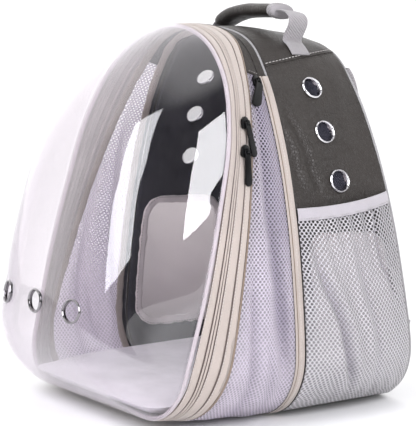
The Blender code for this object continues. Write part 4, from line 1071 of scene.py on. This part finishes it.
def make_wedge():
    us = np.linspace(0.0, 1.0, 45)
    start = -(SPLIT - 0.0004)
    ts = np.linspace(start, -start, 330)
    obj = wall_piece("wedge_net", BAND, FRAME, us, ts, 0.0009, [GUSSET], relief=gusset_relief, along=EDGE,
                     shade=gusset_shade)
    settle(obj, ("expansion_gusset",))

    over = np.linspace(SPLIT + 0.0004, 1.0 - SPLIT - 0.0004, 150)
    us = np.linspace(0.0, 1.0, 14)

    def relief(U, T, P):
        return 0.0006 * np.clip(np.sin(math.pi * U), 0, 1) ** 0.3 + 0.0003 * lumps(P, 0.03, 5)

    obj = wall_piece("hinge_leather", BAND, FRAME, us, over, 0.0022, [LEATHER, LINING_CLOTH], relief=relief,
                     along=EDGE, inner=1)
    settle(obj, ("hinge_strip",))

    rows = np.array([0.0, 0.02, 0.08, 0.16, 0.24, 0.27, 0.30, 0.36, 0.38, 0.41, 0.46, 0.55, 0.66, 0.72, 0.76,
                     0.79, 0.805, 0.83, 0.88, 0.93, 0.96, 0.975, 1.0])
    turns = np.unique(np.concatenate([TS, [SPLIT, 1 - SPLIT]]))

    def binding(U, T, P):
        h = rounded(U, -0.02, 0.27, 0.0008) + rounded(U, 0.39, 1.02, 0.0012) + rounded(U, 0.28, 0.38, 0.0004)
        top = (T > SPLIT) & (T < 1 - SPLIT)
        roof = rounded(U, -0.2, 0.79, 0.0008) + rounded(U, 0.80, 0.96, 0.0018)
        return np.where(top, roof, h)

    mid_u, mid_t = (rows[:-1] + rows[1:]) / 2, (turns[:-1] + turns[1:]) / 2
    U, T = np.meshgrid(mid_u, mid_t, indexing="ij")
    top = (T > SPLIT) & (T < 1 - SPLIT)
    slot = np.where(top, np.where((U > 0.79) & (U < 0.97), 4, 2), np.where((U > 0.27) & (U < 0.38), 1, 0))
    mats = [TAPE, TAPE_EDGE, LEATHER, LINING_CLOTH, PIPING_BACK]
    obj = wall_piece("frame_binding", FRAME, FRAME, rows, turns, 0.0028, mats, wrap=True,
                     relief=binding, along=(-FRAME_DEPTH, 0.0), outer=slot, inner=3, edge=2)
    settle(obj, ("body_frame_binding",))

    t = np.linspace(-SPLIT, SPLIT, 620)
    p = wall(FRAME, FRAME, np.full(t.shape, 0.62), t, 0.0, (-FRAME_DEPTH, 0.0))
    n = wall_normal(FRAME, BACK, np.full(t.shape, 0.0), t)
    settle(stitches("binding_stitches", [(p + n * 0.0009, n)], [THREAD], 0.0034, 0.0024, 0.0006, 0.0004))
    runs = []
    for side in (1, -1):
        tt = np.full(20, SPLIT + 0.0022 if side > 0 else 1 - SPLIT - 0.0022)
        u = np.linspace(0.08, 0.96, 20)
        n = wall_normal(BAND, FRAME, u, tt, EDGE)
        runs.append((wall(BAND, FRAME, u, tt, 0.0, EDGE) + n * 0.0006, n))
    settle(stitches("hinge_stitches", runs, [THREAD_GREY], 0.0038, 0.0027, 0.0007, 0.0005))

    # Bindings sewn inside along both edges of the net
    t = np.linspace(0, 1, 361)[:-1]
    for name, u, inset, seed in (("inner_binding_front", 0.0, 0.0032, 4), ("inner_binding_rear", 1.0, 0.0044, 9)):
        p = wall(BAND, FRAME, np.full(t.shape, u), t, inset, EDGE)
        n = wall_normal(BAND, FRAME, np.full(t.shape, 0.5), t, EDGE)
        ripple = 1.0 + 0.16 * lumps(p, 0.022, seed, 3)
        base = round_section(0.0085, 0.0020, 12, 3.0)
        section = base[None] * ripple[:, None, None]
        obj = tube(name, p, section, [SEAM_BINDING], np.cross(n, unit(np.roll(p, -1, 0) - p)), closed=True)
        settle(obj)


make_wedge()


# Body

SEAM_FRONT, SEAM_REAR = 0.907, 0.968


def seam_share(u):
    return SEAM_FRONT + (SEAM_REAR - SEAM_FRONT) * u


def body_relief(U, T, P):
    d = (FRAME.flat(T)[1] / BODY_HEIGHT - seam_share(U)) * BODY_HEIGHT
    h = 0.0009 / (1 + np.exp(-d / 0.0004))
    h -= 0.0008 * bump_at(d, 0.0, 0.0009)
    z, y = P[..., 2], P[..., 1] - Y0
    upper = np.clip((z - 0.235) / 0.02, 0, 1)
    drape = upper * np.clip((0.355 - z) / 0.03, 0, 1)
    line = 0.017 + 0.26 * (0.315 - z) + 0.0015 * np.sin(z * 90)
    h += (0.0024 * bump_at(y, line, 0.0055) - 0.0018 * bump_at(y, line + 0.010, 0.0055)) * drape
    h += (0.0013 * bump_at(y, line + 0.020, 0.005) - 0.0010 * bump_at(y, line - 0.011, 0.005)) * drape
    h += 0.0006 * bump_at(y, 0.100 + 0.12 * (z - 0.30), 0.010) * upper
    h += 0.0006 * lumps(P, 0.10, 21) + 0.0002 * lumps(P, 0.03, 22)
    crown = np.clip((z - 0.33) / 0.07, 0, 1) * np.clip(1 - np.abs(P[..., 0]) / 0.13, 0, 1) ** 0.5
    h += 0.0052 * crown * np.clip(np.sin(math.pi * np.clip(U, 0, 1) ** 0.8), 0, 1) ** 0.7
    return h


def dressed(u, share, side, out=0.0):
    """Points on the leather as it bulges, and their outward normals."""
    u, share = np.broadcast_arrays(np.asarray(u, float), np.asarray(share, float))
    p, n = body_side(u, share, side)
    t = FRAME.turn_at(share, side)
    rise = body_relief(u, t, p)
    return p + n * (rise + out)[..., None], n


def vent_places():
    for side, label in ((1, "right"), (-1, "left")):
        for height, u, share in (("top", 0.460, 0.864), ("middle", 0.460, 0.751), ("low", 0.498, 0.624)):
            p, n = dressed(u, share, side, 0.0002)
            yield side, label + "_" + height, p, n


def window_points(side, margin, out, rows, columns):
    wide = (WINDOW_TO - WINDOW_FROM) * BODY_DEPTH
    tall = (WINDOW_HIGH - WINDOW_LOW) * BODY_HEIGHT
    radius = WINDOW_CORNER + margin
    low = [(radius * (1 - math.cos(a)), radius * (1 - math.sin(a))) for a in np.linspace(0, math.pi / 2, 12)]
    levels = [(y - margin, x - margin) for y, x in low]
    straight = tall - 2 * WINDOW_CORNER
    levels += [(WINDOW_CORNER + straight * k / rows, -margin) for k in range(1, rows)]
    levels += [(tall + margin - y, x - margin) for y, x in reversed(low)]
    level_y = np.array([v[0] for v in levels])[:, None]
    level_x = np.array([v[1] for v in levels])[:, None]
    across = level_x + (wide - 2 * level_x) * np.linspace(0, 1, columns)[None]
    share = WINDOW_LOW + level_y / BODY_HEIGHT + across * 0
    P, N = body_side(WINDOW_FROM + across / BODY_DEPTH, share, side, out)
    uv = np.stack([level_y + across * 0, across], -1)
    return P, N, uv


def window_edge(side, margin, out):
    P, N, _ = window_points(side, margin, out, 14, 16)
    return tuple(np.concatenate([G[0, :-1], G[:-1, -1], G[-1, :0:-1], G[:0:-1, 0]]) for G in (P, N))


def make_body():
    turns = np.linspace(0, 1, 321)
    first, last = 0.0015, 1.0 - (BACK_PIPING + GAP) / BODY_DEPTH
    us = np.linspace(first, last, 40)
    shell = wall_piece("leather_wall", FRAME, BACK, us, turns, WALL - 0.0004, [LEATHER], wrap=True,
                       relief=body_relief)
    lining = wall_piece("inner_lining", FRAME, BACK, np.linspace(0.004, 0.935, 24), turns, 0.0007,
                        [LINING_CLOTH], wrap=True, inset=WALL + 2 * GAP,
                        relief=lambda U, T, P: -0.0005 + 0.0005 * lumps(P, 0.04, 31, 3))
    tools = []
    for side, label, p, n in vent_places():
        tools.append(drill("cutter_vent_" + label, p, n, 0.03, LEATHER))
    for side in (1, -1):
        P, N, uv = window_points(side, 0.0, 0.012, 8, 10)
        tools.append(sheet_mesh("cutter_window", P, N, 0.024, [LEATHER], uv))
    cut(shell, tools)
    cut(lining, tools)
    for tool in tools:
        bpy.data.objects.remove(tool)
    settle(shell, ("body_shell",))
    settle(lining, ("body_lining",))

    runs = []
    for side in (1, -1):
        u = np.linspace(0.01, 0.97, 60)
        runs.append(dressed(u, seam_share(u) + 0.0030 / BODY_HEIGHT, side, 0.0001))
    settle(stitches("seam_stitches", runs, [THREAD], 0.0052, 0.0036, 0.0009, 0.0007))
    runs = []
    for side in (1, -1):
        u = np.linspace(0.01, 0.97, 60)
        p, n = dressed(u, seam_share(u) + 0.0010 / BODY_HEIGHT, side, 0.0001)
        obj = tube("seam_cord_" + ("right" if side > 0 else "left"), p, round_section(0.0016, 0.0012, 8),
                   [LEATHER], n)
        settle(obj)

    for side, label, p, n in vent_places():
        ring = turned("vent_ring_" + label, ring_profile(WALL + LINING + 0.0012, 0.0003), p, n, [CHROME], 64)
        settle(ring, ("vent_" + label,))
        r = np.linspace(0.0, VENT_BORE / 2 - 0.0004, 8)
        a = np.linspace(0, 2 * math.pi, 49)
        turn = np.array(Vector(n).to_track_quat("Z", "Y").to_matrix())
        sag = -0.0030 - 0.0007 * (1 - (r / r[-1]) ** 2)
        local = np.stack([r[:, None] * np.cos(a)[None], r[:, None] * np.sin(a)[None],
                          sag[:, None] + 0 * a[None]], -1)
        local[0, :, 0] = 0.00002 * np.cos(a)
        local[0, :, 1] = 0.00002 * np.sin(a)
        P = local @ turn.T + p
        N = np.broadcast_to(n, P.shape)
        disc = sheet_mesh("vent_cloth_" + label, P, N, 0.0006, [VENT_NET], local[..., :2], wrap=True)
        settle(disc, ("vent_mesh_" + label,))

    for side, label in ((1, "right"), (-1, "left")):
        P, N, uv = window_points(side, -0.0005, -WALL / 2, 24, 30)
        P = P + N * (0.0010 * lumps(P, 0.06, 41))[..., None]
        obj = sheet_mesh("window_cloth_" + label, P, N, 0.0006, [WINDOW], uv)
        settle(obj, ("window_mesh_" + label,))
        p, n = window_edge(side, 0.0, -(WALL + LINING + 0.0022))
        count = 260
        closed = np.concatenate([p, p[:1]])
        normals = np.concatenate([n, n[:1]])
        reach = reach_along(closed)
        at = np.linspace(0, reach[-1], count, endpoint=False)
        p = np.stack([np.interp(at, reach, closed[:, i]) for i in range(3)], 1)
        n = unit(np.stack([np.interp(at, reach, normals[:, i]) for i in range(3)], 1))
        ahead = unit(np.roll(p, -1, 0) - np.roll(p, 1, 0))
        across = np.cross(n, ahead)
        ripple = 1.0 + 0.20 * lumps(p, 0.016, 51, 3)
        swell = np.stack([ripple, 1.0 + 0.3 * lumps(p, 0.011, 52)], -1)
        section = round_section(0.0095, 0.0024, 14, 2.6)[None] * swell[:, None]
        path = p + n * (0.0004 * lumps(p, 0.02, 53))[:, None]
        obj = tube("window_edge_" + label, path, section, [BINDING], across, closed=True)
        settle(obj, ("window_binding_" + label,))
        settle(stitches("window_stitches_" + label, [(p - n * 0.0011 + across * 0.0030, -n)], [THREAD_DARK],
                        0.0040, 0.0028, 0.0007, 0.0004))

    t = turns[:-1]
    path = wall(FRAME, BACK, np.full(t.shape, 1.0 - 0.5 * BACK_PIPING / BODY_DEPTH), t, BACK_PIPING / 2)
    n = wall_normal(FRAME, BACK, np.full(t.shape, 0.99), t)
    section = round_section(BACK_PIPING, BACK_PIPING, 14)
    obj = tube("rear_piping", path, section, [PIPING_BACK], n, closed=True)
    settle(obj, ("back_piping",))


make_body()


# Side pockets

POCKET_FROM, POCKET_TO, POCKET_LOW, POCKET_HIGH, POCKET_RISE = 0.006, 0.962, 0.022, 0.522, 0.043
POCKET_SEAM, POCKET_BULGE, ELASTIC_HEIGHT = 0.0011, 0.016, 0.0135


def pocket_surface(side, share, up, a, folds):
    swell = np.interp(up, [r[0] for r in POCKET_ROWS], [r[1] for r in POCKET_ROWS])
    out = POCKET_SEAM + POCKET_BULGE * swell * np.maximum(np.sin(math.pi * a), 0.0) ** 0.6
    u = POCKET_FROM + (POCKET_TO - POCKET_FROM) * a
    return body_side(u, share, side, out + folds)


def rear_pleat(up):
    bow = 0.035 * np.sin(math.pi * np.clip((0.98 - up) / 0.30, 0, 1))
    return 0.77 - bow + 0.5 * np.clip(0.72 - up, 0, 0.3)


def front_crease(up):
    return 0.13 + 0.445 * (0.77 - up) + 0.012 * np.sin(up * 16)


def pocket_folds(a, up):
    """Small gathers under the elastic, a narrow pleat near the rear and a broad crease near the front."""
    inside = np.clip(np.sin(math.pi * a), 0, 1) ** 0.5 * np.clip(up / 0.06, 0, 1)
    top = np.clip((up - 0.62) / 0.38, 0, 1) ** 1.5
    h = 0.0013 * np.sin(2 * math.pi * (a * 7.5 + 0.2 * np.sin(up * 5))) * top
    line = rear_pleat(up)
    reach = np.clip((up - 0.48) / 0.18, 0, 1)
    h -= 0.0042 * bump_at(a, line, 0.017) * reach
    h += 0.0026 * bump_at(a, line - 0.045, 0.032) * reach
    h += 0.0016 * bump_at(a, line + 0.050, 0.030) * reach
    line = front_crease(up)
    reach = np.clip((0.92 - up) / 0.2, 0, 1) * np.clip((up - 0.08) / 0.15, 0, 1)
    h -= 0.0062 * bump_at(a, line + 0.012, 0.034) * reach
    h += 0.0040 * bump_at(a, line + 0.090, 0.050) * reach
    h += 0.0022 * bump_at(a, line - 0.050, 0.035) * reach
    line = 0.50 + 0.06 * np.sin(up * 6)
    reach = np.clip((up - 0.15) / 0.2, 0, 1) * np.clip((0.85 - up) / 0.2, 0, 1)
    h += 0.0032 * bump_at(a, line, 0.040) * reach
    h -= 0.0024 * bump_at(a, line + 0.085, 0.035) * reach
    low = np.clip((0.30 - up) / 0.22, 0, 1) * np.clip(up / 0.07, 0, 1)
    h += 0.0016 * np.sin(2 * math.pi * (a * 8 + up * 4)) * low
    return h * inside


# Painted shade on the pocket net, for its fold attribute: along the rear pleat and the front crease, in the valley
# beside the middle ridge and towards the upper front.
def pocket_shade(a, up):
    made = 0.62 * bump_at(a, rear_pleat(up), 0.012) * np.clip((up - 0.52) / 0.15, 0, 1)
    reach = np.clip((0.86 - up) / 0.15, 0, 1) * np.clip((up - 0.10) / 0.15, 0, 1)
    made += 0.62 * bump_at(a, front_crease(up) + 0.022, 0.030) * reach
    made += 0.22 * bump_at(a, 0.585 + 0.06 * np.sin(up * 6), 0.03) * reach
    made += 0.20 * np.clip((0.16 - a) / 0.16, 0, 1) * np.clip((up - 0.3) / 0.4, 0, 1)
    return 0.6 * made


def make_pockets():
    for side, label in ((1, "right"), (-1, "left")):
        up, a = np.meshgrid(np.linspace(0, 1, 110), np.linspace(0, 1, 90), indexing="ij")
        tall = POCKET_HIGH - POCKET_LOW
        share = POCKET_LOW + tall * up + POCKET_RISE * up * a * a
        P, N = pocket_surface(side, share, up, a, 0.0009 + pocket_folds(a, up))
        N = grid_normals(P, False, (0.0, 0.1, 0.15))
        uv = cloth_lengths(P)
        obj = sheet_mesh("pocket_net_" + label, P, N, 0.0008, [POCKET], uv, fold=pocket_shade(a, up))
        settle(obj, ("pocket_mesh_" + label,))

        up, a = np.meshgrid(np.linspace(0, 1, 12), np.linspace(0, 1, 110), indexing="ij")
        share = POCKET_HIGH + POCKET_RISE * a * a + ELASTIC_HEIGHT / BODY_HEIGHT * up
        ripple = 0.0007 * np.sin(2 * math.pi * (a * 6.5 + 0.15 * np.sin(5.0))) * (1 - up) * np.sin(math.pi * a)
        roll = 0.0007 * np.clip(np.sin(math.pi * up), 0, 1) ** 0.4
        P, N = pocket_surface(side, share, np.ones_like(up), a, 0.0011 + ripple + roll)
        N = grid_normals(P, False, (0.0, 0.1, 0.15))
        uv = np.stack([a * BODY_DEPTH, up * ELASTIC_HEIGHT], -1)
        obj = sheet_mesh("pocket_band_" + label, P, N, 0.0016, [ELASTIC], uv)
        settle(obj, ("pocket_elastic_" + label,))
        aa = np.linspace(0.01, 0.99, 90)
        s = POCKET_HIGH + POCKET_RISE * aa * aa + ELASTIC_HEIGHT / BODY_HEIGHT * 0.16
        run = pocket_surface(side, s, np.ones_like(aa), aa, 0.0017)
        settle(stitches("pocket_stitches_" + label, [run], [THREAD_GREY], 0.0030, 0.0021, 0.0006, 0.0004))


make_pockets()


# Floor board

def make_board():
    obj = bevelled("floor_board", "padded_board", BOARD, 0.00001, 0.02, (0.0032, 4, 0.6))
    layer = obj.data.uv_layers.new(name="cloth") if not obj.data.uv_layers else obj.data.uv_layers[0]
    layer.name = "cloth"
    for loop in obj.data.loops:
        v = obj.data.vertices[loop.vertex_index].co
        layer.data[loop.index].uv = (v.x, v.y)
    settle(obj, ("floor_board",))


make_board()


# Handle

def roof(x, out=0.0, u=0.472, lift=False):
    side = 1.0 if x >= 0 else -1.0
    upper = FRAME.fine[:, 1] > 0.6 * FRAME.height
    widths, heights = FRAME.fine[upper, 0], FRAME.fine[upper, 1]
    share = min(float(np.interp(abs(x), widths[::-1], heights[::-1])) / FRAME.height, 0.9999)
    return dressed(u, share, side, out) if lift else body_side(u, share, side, out)


def make_handle():
    feet = {}
    for side in (1.0, -1.0):
        feet[side] = [roof(side * (0.080 - 0.016 * k / 3), 2 * GAP + 0.001, lift=True)[0] for k in range(4)]
    base, y = feet[1.0][-1][2], feet[1.0][-1][1]
    top = roof(0.0)[0][2]
    rise = top + 0.019 + 0.0155 / 2 - base
    rows = np.array([(0.080 * a, y, base + rise * b) for a, b in HANDLE_PATH])
    rear, front = (wall(FRAME, BACK, np.array(u), np.array(0.5)) for u in (0.49, 0.46))
    across = unit(rear - front)
    whole = curve_through(rows, 12)
    first, last = 6 * 12, 12 * 12
    path = whole[first + 1:last + 1]
    count = len(path)
    f = np.linspace(0, 1, count)
    swell = 1.0 - 0.16 * np.maximum(np.abs(2 * f - 1) ** 6, 0)
    ripple = 1.0 + 0.02 * lumps(path, 0.02, 61)
    section = round_section(0.034, 0.0155, 28, 2.3)[None] * (swell * ripple)[:, None, None]
    grip = tube("padded_grip", path, section, [LEATHER], across)
    settle(grip, ("handle_grip",))

    # Webbing wraps the grip's right end, folds over and falls to the roof
    wrap = whole[first - 1:first + 5]
    sleeve = round_section(0.0350, 0.0176, 28, 2.3)[None] * np.linspace(0.93, 1.0, len(wrap))[:, None, None]
    obj = tube("grip_sleeve", wrap, sleeve, [WEBBING], across)
    settle(obj)
    runs = []
    for k in (1, 4):
        ring = wrap[k]
        sec = sleeve[k]
        ahead = unit(wrap[k + 1] - wrap[k - 1])
        side_way = unit(across - ahead * np.dot(across, ahead))
        out_way = np.cross(ahead, side_way)
        pts = ring + side_way * sec[:, :1] + out_way * sec[:, 1:]
        pts = np.concatenate([pts, pts[:1]])
        runs.append((pts, unit(pts - ring)))
    settle(stitches("sleeve_stitches", runs, [THREAD_GREY], 0.0032, 0.0023, 0.0007, 0.0004))

    for label, side, part in (("right", 1.0, whole[:first + 1]), ("left", -1.0, whole[last:][::-1])):
        foot = curve_through(feet[side], 6)
        strap = np.concatenate([foot[:-1], part])
        strap = resample(strap, 0.0022)
        n = len(strap)
        f = np.linspace(0, 1, n)
        width = 0.0270 - 0.0080 * np.clip((f - 0.78) / 0.2, 0, 1) if side > 0 else np.full(n, 0.0270)
        width = width + 0.0006 * lumps(strap, 0.02, 62)
        base_section = round_section(1.0, 0.0021, 12, 5.0)
        section = np.stack([base_section[None, :, 0] * width[:, None],
                            np.broadcast_to(base_section[None, :, 1], (n, 12))], -1)
        obj = tube("handle_strap_" + label, strap, section, [WEBBING], across)
        settle(obj, ("handle_webbing_" + label,))
        runs = []
        normal = roof(side * 0.072)[1]
        pts = [roof(side * x, 0.0036, u, True)[0] for x, u in
               ((0.066, 0.41), (0.066, 0.53), (0.079, 0.53), (0.079, 0.41), (0.066, 0.41), (0.079, 0.53))]
        box = resample(np.array(pts), 0.001)
        runs.append((box, normal))
        pts = [roof(side * x, 0.0036, u, True)[0] for x, u in ((0.066, 0.53), (0.079, 0.41))]
        runs.append((resample(np.array(pts), 0.001), normal))
        settle(stitches("foot_stitches_" + label, runs, [THREAD_GREY], 0.0030, 0.0022, 0.0006, 0.0004))


make_handle()


# Sliders and pulls

def soften(node, name, body, width, wider=1.0):
    """A copy of a hard piece with rounded edges, wider from 6 to 10 mm below its top."""
    def widen(verts):
        middle = sum(v.co.y for v in verts) / len(verts)
        top = max(v.co.z for v in verts)
        for v in verts:
            share = min(max((top - v.co.z - 0.006) / 0.004, 0.0), 1.0)
            v.co.y = middle + (v.co.y - middle) * (1.0 + (wider - 1.0) * share)

    obj = bevelled(node, name, BLACK, 0.000005, 0.03, (width, 3, 0.5), widen)
    obj.data.set_sharp_from_angle(angle=math.radians(35))
    settle(obj, (node,), body)


for key in ("upper", "lower", "wedge"):
    soften("slider_" + key, "zip_slider_" + key, ROOT, 0.0004)
    soften("pull_" + key, "zip_pull_" + key, "pull_" + key, 0.0003, 1.45 if key == "wedge" else 1.0)


# Back panel and straps

def make_back():
    levels = np.array([1.0, 0.985, 0.965, 0.95, 0.93, 0.90, 0.86, 0.82, 0.77, 0.72, 0.66, 0.60, 0.54, 0.48, 0.42,
                       0.36, 0.30, 0.24, 0.18, 0.12, 0.06, 0.0005])
    ts = np.linspace(0, 1, 241)
    x, s = BACK.flat(ts, BACK_PIPING + 0.0006)
    centre = 0.45 * BACK_HEIGHT
    X = levels[:, None] * x[None]
    S = centre + levels[:, None] * (s[None] - centre)
    depth = 0.0006 + 0.0030 * np.clip((levels[:, None] - 0.95) / 0.05, 0, 1) ** 2 + 0 * X
    depth += 0.0022 * bump_at(levels[:, None], 0.90, 0.012) * (S > 0.0)
    inside = levels[:, None] < 0.89
    for line in (-0.045, 0.045):
        depth += 0.0020 * bump_at(X, line, 0.0030) * inside
    for line in (0.14, 0.27):
        depth += 0.0020 * bump_at(S, line, 0.0030) * inside
    P = BACK.place(X, S, -depth)
    N = np.broadcast_to(unit(BACK.place(0.0, 0.0, 1.0) - BACK.place(0.0, 0.0, 0.0)), P.shape)
    uv = np.stack([X, S], -1)
    mids = (levels[:-1] + levels[1:]) / 2
    outer = np.where(mids > 0.90, 0, 1)[:, None]
    obj = sheet_mesh("padded_back", P, N, 0.0042, [LEATHER, MESH_PAD], uv, wrap=True, outer=outer, inner=0)
    settle(obj, ("back_panel",))
    P = BACK.place(X, S, -0.0050 + 0 * X)
    inner = sheet_mesh("back_lining", P, N, 0.0030, [LINING_CLOTH], uv, wrap=True)
    settle(inner)


def make_straps():
    for side, label in ((1.0, "right"), (-1.0, "left")):
        rows = np.array(STRAP_PATH)
        stand = 0.009 / 2 + GAP
        pts = BACK.place(side * 0.075 * rows[:, 1], rows[:, 0] * BACK_HEIGHT, stand + 0.026 * rows[:, 2])
        fine = curve_through(pts, 12)
        wide = np.interp(np.linspace(0, len(pts) - 1, len(fine)), range(len(pts)), 0.058 * rows[:, 3])
        n = len(fine)
        f = np.linspace(0, 1, n)
        thick = 0.0088 - 0.003 * np.clip(1 - f / 0.12, 0, 1) - 0.004 * np.clip((f - 0.93) / 0.07, 0, 1)
        base = round_section(1.0, 1.0, 28, 4.0)
        section = np.stack([base[None, :, 0] * wide[:, None], base[None, :, 1] * thick[:, None]], -1)
        obj = tube("padded_strap_" + label, fine, section, [LEATHER], (1.0, 0.0, 0.0))
        settle(obj, ("shoulder_strap_" + label,))
        ahead = unit(np.gradient(fine, axis=0))
        across = unit(np.array([1.0, 0.0, 0.0]) - ahead * ahead[:, :1])
        out = np.cross(ahead, across)
        for edge in (1, -1):
            p = fine + across * (edge * (wide / 2 - 0.0008))[:, None]
            cord = tube("strap_edge_%s_%s" % (label, "outer" if edge * side > 0 else "inner"), p,
                        round_section(0.0042, 0.0062, 12, 2.5), [WEBBING], across)
            settle(cord)
        runs = []
        for edge in (1, -1):
            for face in (1, -1):
                p = fine[2:-2] + across[2:-2] * (edge * (wide[2:-2] / 2 - 0.0058))[:, None]
                p = p + out[2:-2] * (face * thick[2:-2] * 0.5)[:, None]
                runs.append((p, out[2:-2] * face))
        settle(stitches("strap_stitches_" + label, runs, [THREAD_GREY], 0.0042, 0.0030, 0.0007, 0.0004,
                        0.0))

        begin = np.array([side * 0.075, rows[-1, 0] * BACK_HEIGHT - 0.025 * 0.47 - 2 * GAP])
        foot = np.array([side * 0.172, 0.21 * BACK_HEIGHT])
        lie = 0.0018 / 2 + 2 * GAP
        pts = []
        for share, off in ((0.0, 0.75), (0.35, 0.62), (0.68, 0.25), (0.86, 0.02), (1.0, 0.0)):
            x, s = begin + (foot - begin) * share
            pts.append(BACK.place(x, s, lie + 0.026 * off))
        run = unit(foot - begin)
        up = BACK.place(0.0, 1.0) - BACK.place(0.0, 0.0)
        wide_way = up * run[0] - np.array([run[1], 0.0, 0.0])
        path = curve_through(pts, 14)
        obj = tube("lower_webbing_" + label, path, round_section(0.025, 0.0017, 14, 5.0), [WEBBING], wide_way)
        settle(obj, ("strap_webbing_" + label,))


make_back()
make_straps()
